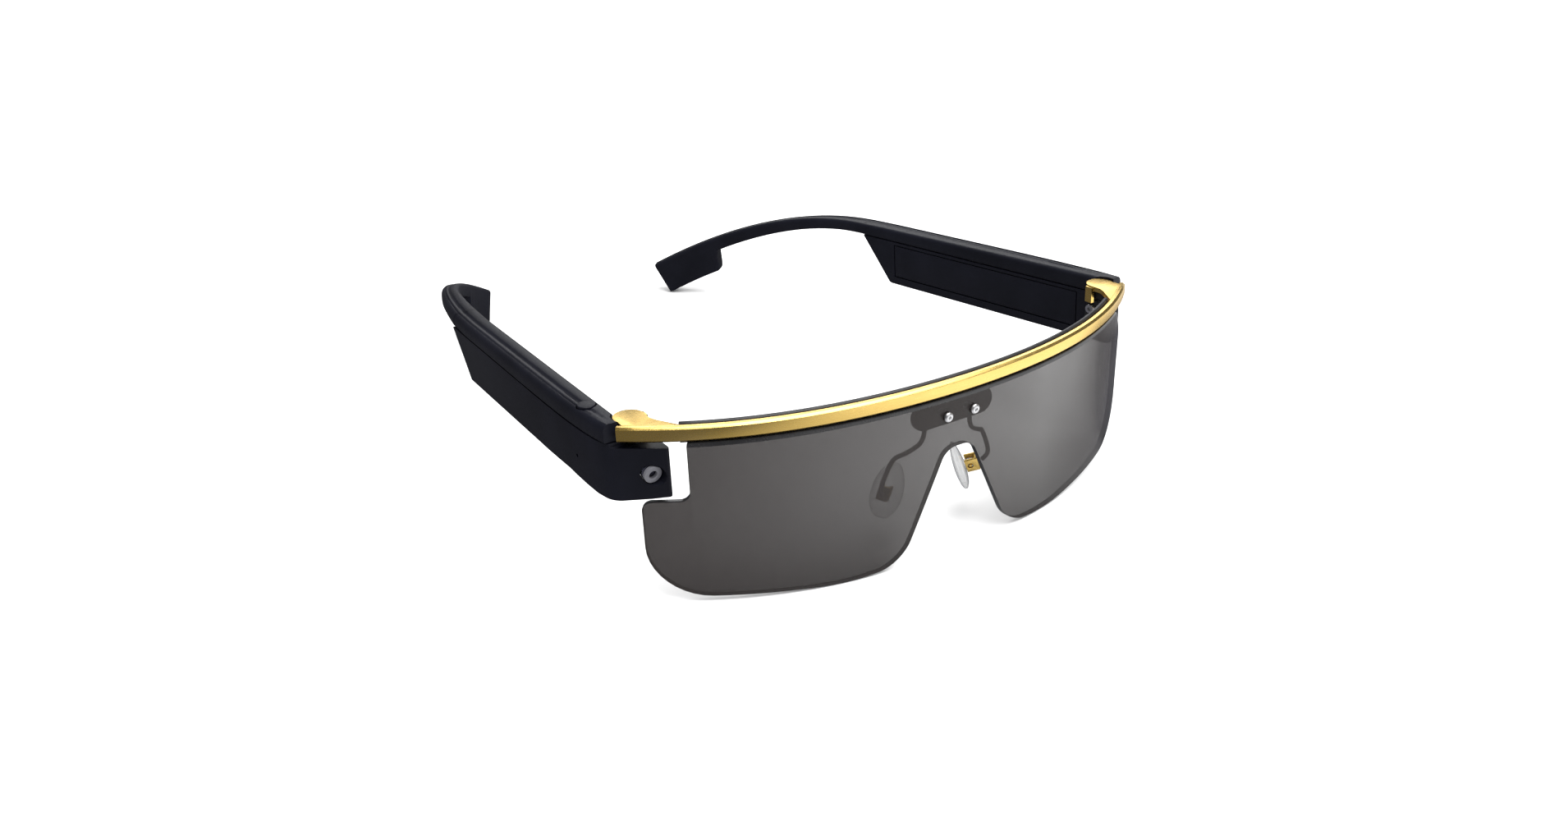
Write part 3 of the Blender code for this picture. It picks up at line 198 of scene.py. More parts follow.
# ==== Liner =====================================================================================
# A thin black moulded strip behind the bar.  It holds the lens and shows as a dark line over and
# under the gold.
LINER_EDGE = 0.1 * MM
liner_black = finish("liner_black", (0.012, 0.012, 0.014), (0.02, 0.02, 0.022), (0.4, 0.55),
                     relief=0.08)
softened("front_frame", "front", liner_black, LINER_EDGE)

# ==== Shield lens ===============================================================================
# One sheet of smoke-tinted polycarbonate, cut to outline, with polished faces and a dark edge.
# Its top strip, under the bar, takes the dark edge finish.  Its opacity is least a little to the
# wearer's left of the middle and rises towards both ends: that darkening is painted shade.
LENS_FRONT = 0.3 * MM
LENS_THICKNESS = 1.6 * MM
LENS_BAND = -1.35 * MM                  # the dark top strip starts here
LENS_EDGE = 0.22 * MM
LENS_CUTS = 84                          # strips that let the flat sheet bend
LENS_CORNER_STEPS = 10
RIM_SHARP = 60                          # degrees; only the outline's edges are this sharp
FACING = 0.9                            # a normal this far forward or back is one of the faces
CUT_SHARP = radians(35)
# Outline corners as (x, z, radius), in mm.
LENS_TOP_LEFT = [(63.6, -0.35, 3.6), (68.1, -7.35, 5.6), (66.6, -34.6, 12.5)]
LENS_BOTTOM = [(28.6, -39.3, 60), (15.5, -38.3, 10), (3.6, -12.8, 4)]
CAMERA_NOTCH = [(-69, -36.5, 12.5), (-69, -13.9, 2), (-60.3, -13.9, 2), (-60.3, -0.35, 1)]


def rounded_face(bm, corners, steps):
    """A flat face in X and Z through (x, z, radius) corners, in mm, each rounded."""
    verts = [bm.verts.new((x * MM, 0, z * MM)) for x, z, _ in corners]
    bm.faces.new(verts)
    for i, (x, z, radius) in enumerate(corners):
        if not radius:
            continue
        here = Vector((x, z))
        before = Vector(corners[i - 1][:2]) - here
        after = Vector(corners[(i + 1) % len(corners)][:2]) - here
        reach = radius * MM / tan(before.angle(after) / 2)
        bmesh.ops.bevel(bm, geom=[verts[i]], offset=reach, offset_type="OFFSET", segments=steps,
                        profile=0.5, affect="VERTICES", clamp_overlap=False, material=-1)


def thicken(bm, move):
    """Extrudes every face of a flat outline into a plate."""
    raised = bmesh.ops.extrude_face_region(bm, geom=list(bm.faces))
    verts = [g for g in raised["geom"] if isinstance(g, bmesh.types.BMVert)]
    bmesh.ops.translate(bm, verts=verts, vec=move)


def lens_finish(name, opacity):
    """Smoke tint, with how opaque each face is at shares of the way from right to left;
    the changes in opacity along the way are painted shade.
    """
    mat = finish(name, (0.030, 0.026, 0.025), (0.034, 0.030, 0.029), (0.05, 0.09), grain=1.5 * MM,
                 patch=30 * MM, relief=0.004, IOR=1.5, Specular_IOR_Level=0.22)
    nodes, links = mat.node_tree.nodes, mat.node_tree.links
    place = nodes.new("ShaderNodeTexCoord")
    split = nodes.new("ShaderNodeSeparateXYZ")
    links.new(place.outputs["Object"], split.inputs[0])
    along = nodes.new("ShaderNodeMapRange")
    along.inputs["From Min"].default_value = -BAR_HALF
    along.inputs["From Max"].default_value = BAR_HALF
    links.new(split.outputs["X"], along.inputs["Value"])
    ramp = nodes.new("ShaderNodeValToRGB")
    stops = ramp.color_ramp.elements
    extra = [stops.new(0.5) for _ in opacity[2:]]
    for (share, alpha), stop in zip(opacity, [stops[0], stops[1]] + extra):
        stop.position = share
        stop.color = (alpha, alpha, alpha, 1)
    links.new(along.outputs[0], ramp.inputs[0])
    links.new(ramp.outputs[0], nodes["Principled BSDF"].inputs["Alpha"])
    return mat


# The lens darkens towards both ends by opacity alone: painted shade over the smoke tint.
smoke = lens_finish("smoke_lens",
                    [(0.05, 0.86), (0.45, 0.73), (0.7, 0.64), (0.84, 0.79), (1.0, 0.90)])
smoke_edge = finish("lens_edge", (0.012, 0.012, 0.013), (0.02, 0.02, 0.021), (0.2, 0.3),
                    relief=0.02)


def cut(piece, tool_bm):
    """Cuts a closed shape out of a piece."""
    mesh = bpy.data.meshes.new("tool")
    tool_bm.to_mesh(mesh)
    tool_bm.free()
    tool = bpy.data.objects.new("tool", mesh)
    bpy.context.scene.collection.objects.link(tool)
    modifier = piece.modifiers.new("cut", "BOOLEAN")
    modifier.operation = "DIFFERENCE"
    modifier.solver = "EXACT"
    modifier.object = tool
    bpy.context.view_layer.update()
    graph = bpy.context.evaluated_depsgraph_get()
    old = piece.data
    piece.data = bpy.data.meshes.new_from_object(piece.evaluated_get(graph))
    piece.modifiers.clear()
    piece.data.set_sharp_from_angle(angle=CUT_SHARP)
    bpy.data.objects.remove(tool)
    bpy.data.meshes.remove(mesh)
    bpy.data.meshes.remove(old)


def round_bar(start, end, radius, sides=32):
    """A bmesh with one capped cylinder from start to end."""
    bm = bmesh.new()
    along = Vector(end) - Vector(start)
    bmesh.ops.create_cone(bm, cap_ends=True, segments=sides, radius1=radius, radius2=radius,
                          depth=along.length)
    turn = along.to_track_quat("Z", "Y").to_matrix().to_4x4()
    middle = Matrix.Translation((Vector(start) + Vector(end)) / 2)
    bmesh.ops.transform(bm, matrix=middle @ turn, verts=bm.verts)
    return bm


def make_lens():
    """The outline as a flat sheet, thickened, cut into strips and bent to the bow."""
    bm = bmesh.new()
    mirrored = [(-x, z, radius) for x, z, radius in reversed(LENS_BOTTOM)]
    outline = LENS_TOP_LEFT + LENS_BOTTOM + mirrored + CAMERA_NOTCH
    rounded_face(bm, outline, LENS_CORNER_STEPS)
    bmesh.ops.translate(bm, verts=bm.verts, vec=(0, LENS_FRONT, 0))
    thicken(bm, (0, LENS_THICKNESS, 0))
    bmesh.ops.recalc_face_normals(bm, faces=bm.faces)
    round_edges(bm, LENS_EDGE, angle=RIM_SHARP, segments=2)
    for face in bm.faces:
        face.material_index = 1 if abs(face.normal.y) < FACING else 0
    # The lens above the band takes the dark edge finish.
    everything = bm.verts[:] + bm.edges[:] + bm.faces[:]
    bmesh.ops.bisect_plane(bm, geom=everything, plane_co=(0, 0, LENS_BAND), plane_no=(0, 0, 1))
    for face in bm.faces:
        if face.calc_center_median().z > LENS_BAND:
            face.material_index = 1
    for i in range(1, LENS_CUTS):
        x = BAR_HALF * (2 * i / LENS_CUTS - 1)
        everything = bm.verts[:] + bm.edges[:] + bm.faces[:]
        bmesh.ops.bisect_plane(bm, geom=everything, plane_co=(x, 0, 0), plane_no=(1, 0, 0))
    for vert in bm.verts:
        vert.co = STAND @ bow_place(*vert.co)
    return make_piece(bm, "shield_lens_finished", "front", [smoke, smoke_edge], ("shield_lens",))


lens = make_lens()
SCREW_X = 3.7 * MM
SCREW_Z = -4.79 * MM
SCREW_HOLE_RADIUS = 1.0 * MM
HOLE_REACH = (-3 * MM, 6 * MM)          # from in front of the lens to behind it
for side in (-1, 1):
    hole = [STAND @ Vector((side * SCREW_X, y, SCREW_Z)) for y in HOLE_REACH]
    cut(lens, round_bar(*hole, SCREW_HOLE_RADIUS))

# ==== Nose bracket ==============================================================================
# A blackened steel plate with round ends, held behind the lens by two bright pan-head screws.
BRACKET_EDGE = 0.25 * MM
SCREW_EDGE = 0.12 * MM
black_steel = finish("black_steel", (0.020, 0.020, 0.022), (0.03, 0.03, 0.032), (0.35, 0.5),
                     relief=0.06, Metallic=0.6)
bright_steel = finish("bright_steel", (0.74, 0.74, 0.75), (0.64, 0.64, 0.65), (0.34, 0.46),
                      grain=0.12 * MM, patch=2 * MM, relief=0.04, Metallic=1.0)
softened("nose_bracket", "front", black_steel, BRACKET_EDGE)
for name in ("left", "right"):
    softened("bracket_screw_" + name, "front", bright_steel, SCREW_EDGE)

# ==== Nose arms =================================================================================
# Two dark plated wires, bent over forming pins: straight down from the bracket, out in an S, and
# round to the back of the pad box.
WIRE_EDGE = 0.1 * MM
wire_finish = finish("plated_wire", (0.035, 0.032, 0.03), (0.05, 0.046, 0.043), (0.3, 0.45),
                     grain=0.2 * MM, relief=0.05, Metallic=0.9)
for name in ("left", "right"):
    softened("pad_arm_" + name, "front", wire_finish, WIRE_EDGE)

# ==== Pad boxes =================================================================================
# A small folded gold box at the end of each wire, with a screw across it that the pad rocks on.
BOX_EDGE = 0.12 * MM
CROSS_SCREW_EDGE = 0.08 * MM
for name in ("left", "right"):
    softened("pad_box_" + name, "front", gold, BOX_EDGE)
    softened("pad_screw_" + name, "front", gold, CROSS_SCREW_EDGE)

# ==== Nose pads =================================================================================
# Clear silicone drops, moulded round a thin core with the stem that hangs in the box.
PAD_EDGE = 0.2 * MM
PAD_OPACITY = (0.10, 0.95)              # in the middle, and at the outline
silicone = finish("clear_silicone", (0.30, 0.31, 0.32), (0.36, 0.37, 0.38), (0.08, 0.16),
                  grain=0.4 * MM, relief=0.01, IOR=1.41)
nodes, links = silicone.node_tree.nodes, silicone.node_tree.links
rim = nodes.new("ShaderNodeLayerWeight")        # painted shade: darker towards the outline, where the silicone bends the light
rim.inputs["Blend"].default_value = 0.35
# This turns the facing value into opacity, so the outline's painted shade is drawn as opacity.
depth = nodes.new("ShaderNodeMapRange")
depth.inputs["To Min"].default_value = PAD_OPACITY[0]
depth.inputs["To Max"].default_value = PAD_OPACITY[1]
links.new(rim.outputs["Facing"], depth.inputs["Value"])
links.new(depth.outputs[0], nodes["Principled BSDF"].inputs["Alpha"])
for name in ("left", "right"):
    softened("nose_pad_" + name, "pad_" + name, silicone, PAD_EDGE)

# ==== Hinges ====================================================================================
# Under each gold plate a steel tongue holds the pin.  The temple's knuckle turns on it, and a
# bright socket screw in the knuckle's inner side keeps the pin from turning.
HINGE_EDGE = 0.15 * MM
for name in ("left", "right"):
    softened("hinge_tongue_" + name, "front", black_steel, HINGE_EDGE)
    softened("hinge_pin_" + name, "front", bright_steel, SCREW_EDGE)
    softened("hinge_knuckle_" + name, "temple_" + name, black_steel, HINGE_EDGE)
    softened("hinge_screw_" + name, "temple_" + name, bright_steel, SCREW_EDGE)

# ==== Temple arms ===============================================================================
# Black nylon with a soft-touch coat: the top of the pod, the slim neck and the paddle behind the
# ear in one moulding.  Two soft creases run along the top, with a raised shoulder outside them.
PIN_X = BAR_HALF - 5.0 * MM
PIN_Y = bow_place(PIN_X, 0, 0).y + 8.3 * MM
HINGE_LEAN = radians(9)
LEFT_REST = radians(11.5)               # how far the left temple stands folded in at rest
HINGE_AXIS = Vector((0, -sin(HINGE_LEAN), cos(HINGE_LEAN)))
TEMPLE_SIDE = {"right": -1, "left": 1}
TEMPLE_PLACE = {
    "right": STAND @ Matrix.Translation((-PIN_X, PIN_Y, 0)),
    "left": STAND @ Matrix.Translation((PIN_X, PIN_Y, 0))
    @ Matrix.Rotation(LEFT_REST, 4, HINGE_AXIS),
}
ARM_INNER = 2.1 * MM                    # the inner face, outside the pin
ARM_WIDTH = 6.6 * MM
HOOK_WIDTH = 4.8 * MM
HOOK_TAPER = 25 * MM                    # the length over which the arm narrows to that
ARM_FRONT = -2.3 * MM
FRONT_TUCK = 3.1 * MM                   # how far the outer face curves in at the front
TUCK_START = -7 * MM
TUCK_FADE = 10 * MM
BOW_IN_START = 76 * MM                  # the arm bows in towards the head from here
BOW_IN_RADIUS = 125 * MM
TOP_HEIGHT = 3.7 * MM
TOP_SLOPE = 0.012
TOP_BEND_START = 87 * MM                # and bends down behind the ear from here
TOP_BEND_RADIUS = 128 * MM
ARM_END = 156 * MM
POD_LOW = 12.4 * MM
POD_END = 75.5 * MM
NECK_START = 85 * MM
NECK_DEPTH = 3.1 * MM
PADDLE_START = 138.8 * MM
PADDLE_STEP = 2.5 * MM
PADDLE_DEPTH = 10.6 * MM
NECK_END_DEPTH = 4.2 * MM
ARM_EDGE = 1.05 * MM                    # radius along the top
ARM_EDGE_SHARE = 0.34                   # and at most, of the depth
END_EDGE = 0.3 * MM
SEAM_EDGE = 0.22 * MM                   # along the seam
NECK_EDGE = 0.75 * MM                   # and under the neck, where there is no seam
NECK_EDGE_FADE = 10 * MM
SEAM = -0.45 * MM
CREASE_DEPTH = 0.38 * MM
CREASE_FADE_IN = (-1 * MM, 12 * MM)     # start and length
CREASE_FADE_OUT = (120 * MM, 36 * MM)
CREASE_LEFT_AT_TIP = 0.3
# Across the top, from the inner side: share of the width, and depth in crease depths.
CREASE_PROFILE = ((0.40, 0.0), (0.46, 0.3), (0.52, 0.9), (0.57, 1.0), (0.62, 0.55), (0.67, 0.35),
                  (0.71, 0.6), (0.75, 1.0), (0.79, 0.95))
SHOULDER_DROP = 0.4                     # in crease depths
HINGE_BORE_RADIUS = 3.85 * MM
HINGE_BORE_HALF = 12 * MM
BUTTON_PLACE = (5.0 * MM, 9.5 * MM)     # out from the pin and behind it
BUTTON_HOLE_RADIUS = 2.25 * MM
BUTTON_HOLE_TOP = 6 * MM                # above the arm
BUTTON_HOLE_DEPTH = 3.4 * MM            # into it
soft_black = finish("soft_touch_black", (0.0028, 0.0032, 0.0078), (0.0046, 0.0052, 0.0115),
                    (0.40, 0.54), grain=0.16 * MM, patch=14 * MM, relief=0.14,
                    Specular_IOR_Level=0.27)


def outer_face(back):
    """How far out the arm's outer face is, at a distance behind the pin."""
    return ARM_INNER + ARM_WIDTH - FRONT_TUCK * exp(-(back - TUCK_START) / TUCK_FADE)


def arc_sink(run, radius):
    """How far an arc has left its tangent after a run along it."""
    return radius - sqrt(radius ** 2 - max(run, 0) ** 2)


def arm_centre(back):
    """How far out the middle of the arm is."""
    return ARM_INNER + ARM_WIDTH / 2 - arc_sink(back - BOW_IN_START, BOW_IN_RADIUS)


def arm_top(back):
    """How high the top of the arm is over the pin's middle."""
    straight = TOP_HEIGHT - TOP_SLOPE * min(back, TOP_BEND_START)
    return straight - arc_sink(back - TOP_BEND_START, TOP_BEND_RADIUS)


def blend(low, high, share):
    """From low to high in a straight line, and no further than either."""
    share = min(max(share, 0), 1)
    return low + (high - low) * share


def slant_meet():
    """Where the slanted rear end of the pod crosses the seam."""
    slant_top = arm_top(NECK_START) - NECK_DEPTH
    return POD_END + (SEAM + POD_LOW) * (NECK_START - POD_END) / (slant_top + POD_LOW)


def arm_depth(back):
    """How deep the arm is: down to the seam, then slim, then the paddle."""
    meet = slant_meet()
    if back <= meet:
        return arm_top(back) - SEAM
    if back <= NECK_START:
        full = arm_top(meet) - SEAM
        return blend(full, NECK_DEPTH, (back - meet) / (NECK_START - meet))
    slim = blend(NECK_DEPTH, NECK_END_DEPTH, (back - NECK_START) / (PADDLE_START - NECK_START))
    step = blend(0, 1, (back - PADDLE_START) / PADDLE_STEP)
    return blend(slim, PADDLE_DEPTH, step * step * (3 - 2 * step))


def arm_section(back, side):
    """A ring across the arm, square to its path, as points in the temple's place."""
    def middle(at):
        return Vector((arm_centre(at), at, arm_top(at)))
    along = (middle(back + 0.5 * MM) - middle(back - 0.5 * MM)).normalized()
    out = along.cross(Vector((0, 0, 1))).normalized()
    down = along.cross(out) if along.cross(out).z < 0 else out.cross(along)
    if back <= NECK_START:
        down = Vector((0, 0, -1))
    half = blend(ARM_WIDTH / 2, HOOK_WIDTH / 2, (back - NECK_START) / HOOK_TAPER)
    outer = outer_face(back) - arm_centre(back) if back < POD_END else half
    depth = arm_depth(back)
    edge = min(ARM_EDGE, ARM_EDGE_SHARE * depth)
    low = blend(SEAM_EDGE, NECK_EDGE, (back - NECK_START) / NECK_EDGE_FADE)
    fade_in, fade_out = [(back - start) / length
                         for start, length in (CREASE_FADE_IN, CREASE_FADE_OUT)]
    groove = CREASE_DEPTH * blend(0, 1, fade_in) * blend(1, CREASE_LEFT_AT_TIP, fade_out)
    width = half + outer
    ring = [(-half + low, depth), (-half + 0.3 * low, depth - 0.3 * low), (-half, depth - low)]
    for step in range(5):
        turn = pi / 2 * step / 4
        ring.append((-half + edge * (1 - cos(turn)), edge * (1 - sin(turn))))
    ring += [(-half + share * width, sink * groove) for share, sink in CREASE_PROFILE]
    for step in range(6):
        turn = pi / 2 * step / 5
        ring.append((outer - 1.25 * edge * (1 - sin(turn)),
                     SHOULDER_DROP * groove + 1.6 * edge * (1 - cos(turn))))
    ring += [(outer, depth - low), (outer - 0.3 * low, depth - 0.3 * low), (outer - low, depth)]
    points = [middle(back) + out * a + down * b for a, b in ring]
    return [Vector((side * point.x, point.y, point.z)) for point in points]


def arm_stations():
    """Cross-section places: close together where the shape turns."""
    front = [(ARM_FRONT + step * MM) for step in (0, 2, 4, 7, 10, 14, 18, 22, 26)]
    pod = [blend(front[-1], POD_END, i / 8) for i in range(1, 9)]
    neck = [slant_meet(), NECK_START - 0.9 * MM, NECK_START, NECK_START + 0.9 * MM]
    neck += [blend(neck[-1], PADDLE_START, i / 18) for i in range(1, 19)]
    step = [PADDLE_START + PADDLE_STEP * i / 6 for i in range(1, 7)]
    return front + pod + neck + step + [blend(step[-1], ARM_END, i / 6) for i in range(1, 7)]


def make_arm(name):
    """One section carried from the hinge to the tip, then bored for the hinge and the button."""
    side = TEMPLE_SIDE[name]
    bm = bmesh.new()
    places = arm_stations()
    face = bm.faces.new([bm.verts.new(point) for point in arm_section(places[0], side)])
    for back in places[1:]:
        grown = bmesh.ops.extrude_face_region(bm, geom=[face])
        face = next(g for g in grown["geom"] if isinstance(g, bmesh.types.BMFace))
        for vert, point in zip(face.verts, arm_section(back, side)):
            vert.co = point
    ends = [f for f in bm.faces if len(f.verts) > 4]
    rims = {edge for end in ends for edge in end.edges}
    bmesh.ops.recalc_face_normals(bm, faces=bm.faces)
    bmesh.ops.bevel(bm, geom=list(rims), offset=END_EDGE, offset_type="OFFSET", segments=3,
                    profile=0.5, affect="EDGES", clamp_overlap=True, material=-1)
    bmesh.ops.transform(bm, matrix=TEMPLE_PLACE[name], verts=bm.verts)
    arm = make_piece(bm, "temple_arm_" + name + "_finished", "temple_" + name, [soft_black],
                     ("temple_arm_" + name,), sharp=32)
    place = TEMPLE_PLACE[name]
    bore = [place @ (HINGE_AXIS * reach) for reach in (-HINGE_BORE_HALF, HINGE_BORE_HALF)]
    cut(arm, round_bar(*bore, HINGE_BORE_RADIUS, 64))
    if name == "right":
        out, back = BUTTON_PLACE
        top, bottom = [place @ Vector((-out, back, arm_top(back) + up))
                       for up in (BUTTON_HOLE_TOP, -BUTTON_HOLE_DEPTH)]
        cut(arm, round_bar(top, bottom, BUTTON_HOLE_RADIUS, 48))


for name in ("left", "right"):
    make_arm(name)

# ==== Pods ======================================================================================
# The pod's shell hangs under the arm, across a fine seam.  The right one grows into the camera
# nose, whose underside drops to its outer corner.  A flat cover closes each from the inside.
POD_TOP = SEAM - 0.3 * MM
NOSE_TOP = -1.5 * MM
POD_EDGE = 0.9 * MM
POD_CORNER_STEPS = 8
LEFT_POD_DEEPER = 1.6 * MM
POD_ACROSS = (-8 * MM, 20 * MM)         # past both sides of the pod
PAST_END = 90 * MM
PAST_BOTTOM = 5 * MM
NOSE_GAP = 0.3 * MM                     # between the camera nose and the front of the arm
COVER_SIDES = (-5 * MM, ARM_INNER + 1.4 * MM)
CAVITY_SIDES = (2 * MM, 7.3 * MM)
# Openings in the inner side, as (first, last) behind the pin and (bottom, top), in mm.
COVER_RECESS = ((7.7, 72.3), (-11.6, -1.55))
CAVITY = ((19, 71), (-10.5, -2.65))
CHIN = Vector((-0.187, -0.106, 0))      # how fast the underside drops, outward and forward


def prism(points, low, high):
    """A bmesh with a solid from two heights and a plan of (x, y) points."""
    bm = bmesh.new()
    bm.faces.new([bm.verts.new((x, y, low)) for x, y in points])
    thicken(bm, (0, 0, high - low))
    bmesh.ops.recalc_face_normals(bm, faces=bm.faces)
    return bm


def side_prism(points, inner, outer, side):
    """A solid between two distances out from the pin, from a side view of (back, up) points."""
    bm = bmesh.new()
    bm.faces.new([bm.verts.new((side * inner, back, up)) for back, up in points])
    thicken(bm, (side * (outer - inner), 0, 0))
    bmesh.ops.recalc_face_normals(bm, faces=bm.faces)
    return bm


def placed(bm, name):
    """Moves a shape made at the pin to where its temple stands."""
    bmesh.ops.transform(bm, matrix=TEMPLE_PLACE[name], verts=bm.verts)
    return bm


def pod_plan(name):
    """Plan corners as (out, back, radius), in mm."""
    outer = [(outer_face(back * MM) / MM, back, 0) for back in (2, 6, 11, 17, 25)]
    outer += [(8.7, 86, 0), (2.1, 86, 0)]
    if name == "left":
        return [(2.1, -2.3, 0), (outer_face(ARM_FRONT) / MM, -2.3, 0.5)] + outer
    return [(-4.3, -10.4, 0.6), (-0.35, -7.8, 0), (6.3, -2.7, 6.0)] + outer \
        + [(2.1, -4.2, 0), (-4.3, -4.2, 1.0)]


def make_pod(name):
    """The plan as a block, cut to its side view, rounded, and hollowed from the inside."""
    side = TEMPLE_SIDE[name]
    low = POD_LOW + (LEFT_POD_DEEPER if name == "left" else 0)
    bm = bmesh.new()
    rounded_face(bm, pod_plan(name), POD_CORNER_STEPS)
    for vert in bm.verts:
        vert.co = (side * vert.co.x, vert.co.z, -low)
    thicken(bm, (0, 0, low + POD_TOP))
    if name == "right":
        everything = bm.verts[:] + bm.edges[:] + bm.faces[:]
        bmesh.ops.bisect_plane(bm, geom=everything, plane_co=(0, 0, 0), plane_no=CHIN)
        for vert in bm.verts:
            if vert.co.z < POD_TOP - MM:
                vert.co.z -= max(vert.co.dot(CHIN), 0)
    pod = make_piece(bm, "pod_shell_" + name + "_finished", "temple_" + name, [soft_black],
                     ("pod_shell_" + name,), sharp=35)
    start = ARM_FRONT - NOSE_GAP
    nose = [(-PAST_END, NOSE_TOP), (start, NOSE_TOP), (start, 9 * MM), (-PAST_END, 9 * MM)]
    cut(pod, side_prism(nose, *POD_ACROSS, side))
    slant_top = arm_top(NECK_START) - NECK_DEPTH
    lean = (NECK_START - POD_END) / (slant_top + POD_LOW)
    foot = POD_END - (low - POD_LOW + PAST_BOTTOM) * lean
    bottom = -low - PAST_BOTTOM
    slant = [(foot, bottom), (NECK_START, slant_top), (PAST_END, slant_top), (PAST_END, bottom)]
    cut(pod, side_prism(slant, *POD_ACROSS, side))
    bm = bmesh.new()
    bm.from_mesh(pod.data)
    bmesh.ops.remove_doubles(bm, verts=bm.verts, dist=CAD_WELD)
    bmesh.ops.dissolve_limit(bm, angle_limit=FLAT, verts=bm.verts, edges=bm.edges)
    crisp = [e for e in bm.edges if e.is_manifold and e.calc_face_angle() > radians(40)]
    wide = [e for e in crisp if all(v.co.z < -9 * MM or v.co.y < start - MM / 2 for v in e.verts)]
    bmesh.ops.bevel(bm, geom=wide, offset=POD_EDGE, offset_type="OFFSET", segments=4,
                    profile=0.5, affect="EDGES", clamp_overlap=True, material=-1)
    round_edges(bm, SEAM_EDGE, 40, 2)
    bmesh.ops.transform(bm, matrix=TEMPLE_PLACE[name], verts=bm.verts)
    bm.to_mesh(pod.data)
    bm.free()
    for (opening, reach) in ((COVER_RECESS, COVER_SIDES), (CAVITY, CAVITY_SIDES)):
        (first, last), (under, over) = opening
        corners = [(back * MM, up * MM) for back, up in
                   ((first, under), (last, under), (last, over), (first, over))]
        cut(pod, placed(side_prism(corners, *reach, side), name))
    return pod


COVER_EDGE = 0.1 * MM
pods = {name: make_pod(name) for name in ("left", "right")}
for name in ("left", "right"):
    softened("pod_cover_" + name, "temple_" + name, soft_black, COVER_EDGE,
             segments=2)

# ==== Camera ====================================================================================
# A small module in a dark bore of the nose: a grey ring in front, cover glass, and the barrel.
# The pod also has a pinhole for the microphone and an opening for the USB socket underneath.
CAMERA_OUT = -1.0 * MM
CAMERA_FACE = bow_place(PIN_X + CAMERA_OUT, 0.6 * MM, 0).y - PIN_Y
CAMERA_HEIGHT = -7.7 * MM
CAMERA_DOWN = radians(12)               # the camera looks down this much
BORE_RADIUS = 2.3 * MM
BORE_REACH = (4 * MM, -4.1 * MM)        # in front of the face, and behind it
MIC_PLACE = Vector((-5.4 * MM, 10 * MM, -7.6 * MM))
MIC_REACH = Vector((-6 * MM, 0, 0))
MIC_RADIUS = 0.45 * MM
USB_ACROSS = (-7.25 * MM, -3.55 * MM)
USB_ALONG = (30.35 * MM, 39.95 * MM)
USB_UP = (-14 * MM, -10 * MM)
centre = Vector((-CAMERA_OUT, CAMERA_FACE, CAMERA_HEIGHT))
look = Vector((0, -cos(CAMERA_DOWN), -sin(CAMERA_DOWN)))
place = TEMPLE_PLACE["right"]
bore = [place @ (centre + look * reach) for reach in BORE_REACH]
cut(pods["right"], round_bar(*bore, BORE_RADIUS, 48))
cut(pods["right"], round_bar(place @ MIC_PLACE, place @ (MIC_PLACE + MIC_REACH), MIC_RADIUS, 24))
(out_low, out_high), (back_low, back_high) = USB_ACROSS, USB_ALONG
usb_plan = [(out_low, back_low), (out_high, back_low), (out_high, back_high), (out_low, back_high)]
cut(pods["right"], placed(prism(usb_plan, *USB_UP), "right"))
ring_grey = finish("ring_grey", (0.13, 0.13, 0.145), (0.11, 0.11, 0.125), (0.45, 0.6),
                   relief=0.05)
lens_glass = finish("camera_glass", (0.02, 0.02, 0.03), (0.03, 0.03, 0.045), (0.03, 0.06),
                    relief=0.003, Coat_Weight=1.0)
chip_black = finish("chip_black", (0.02, 0.02, 0.022), (0.035, 0.035, 0.037), (0.35, 0.5))
RING_EDGE = 0.15 * MM
GLASS_EDGE = 0.1 * MM
softened("camera_ring", "temple_right", ring_grey, RING_EDGE)
softened("camera_glass", "temple_right", lens_glass, GLASS_EDGE)
softened("camera_barrel", "temple_right", chip_black, GLASS_EDGE)

# ==== Record button =============================================================================
# A soft-touch key in a round hole of the arm, just behind the hinge, over a small tact switch.
KEY_EDGE = 0.2 * MM
SWITCH_EDGE = 0.1 * MM
softened("record_button", "button", soft_black, KEY_EDGE)
softened("button_switch", "temple_right", chip_black, SWITCH_EDGE)

# ==== Electronics ===============================================================================
# Boards, chip, microphone, foil-wrapped cells and a stamped socket, all inside the closed pods.
# They stay as the frame has them and only get their finishes.
board_green = finish("board_green", (0.015, 0.14, 0.06), (0.02, 0.18, 0.08), (0.35, 0.5))
foil = finish("battery_foil", (0.35, 0.36, 0.38), (0.42, 0.43, 0.45), (0.3, 0.45), Metallic=0.8)
for node, mat in (("main_board", board_green), ("power_board", board_green),
                  ("image_chip", chip_black), ("microphone", chip_black),
                  ("battery_left", foil), ("battery_right", foil), ("usb_socket", bright_steel)):
    bpy.data.objects[node].material_slots[0].material = mat

# ==== Floor and light ===========================================================================
# A white sweep under a large overhead soft box.  In reflections the floor is bright in front of
# the lens only, as if dark cards stood at the sides.
floor_mat = bpy.data.materials.new("floor_white")
floor_mat.use_nodes = True
nodes, links = floor_mat.node_tree.nodes, floor_mat.node_tree.links
shader = nodes["Principled BSDF"]
shader.inputs["Roughness"].default_value = 0.9
shader.inputs["Specular IOR Level"].default_value = 0.0
FLOOR_WHITE = (0.86, 0.86, 0.86, 1)
CARD_DARK = (0.07, 0.07, 0.08, 1)
CARD_BRIGHT = (0.72, 0.72, 0.72, 1)
CARD_FADES = (("X", -0.10, 0.05), ("Y", -0.075, -0.105), ("X", 0.13, 0.22))
where = nodes.new("ShaderNodeTexCoord")
split = nodes.new("ShaderNodeSeparateXYZ")
links.new(where.outputs["Object"], split.inputs[0])
fades = []
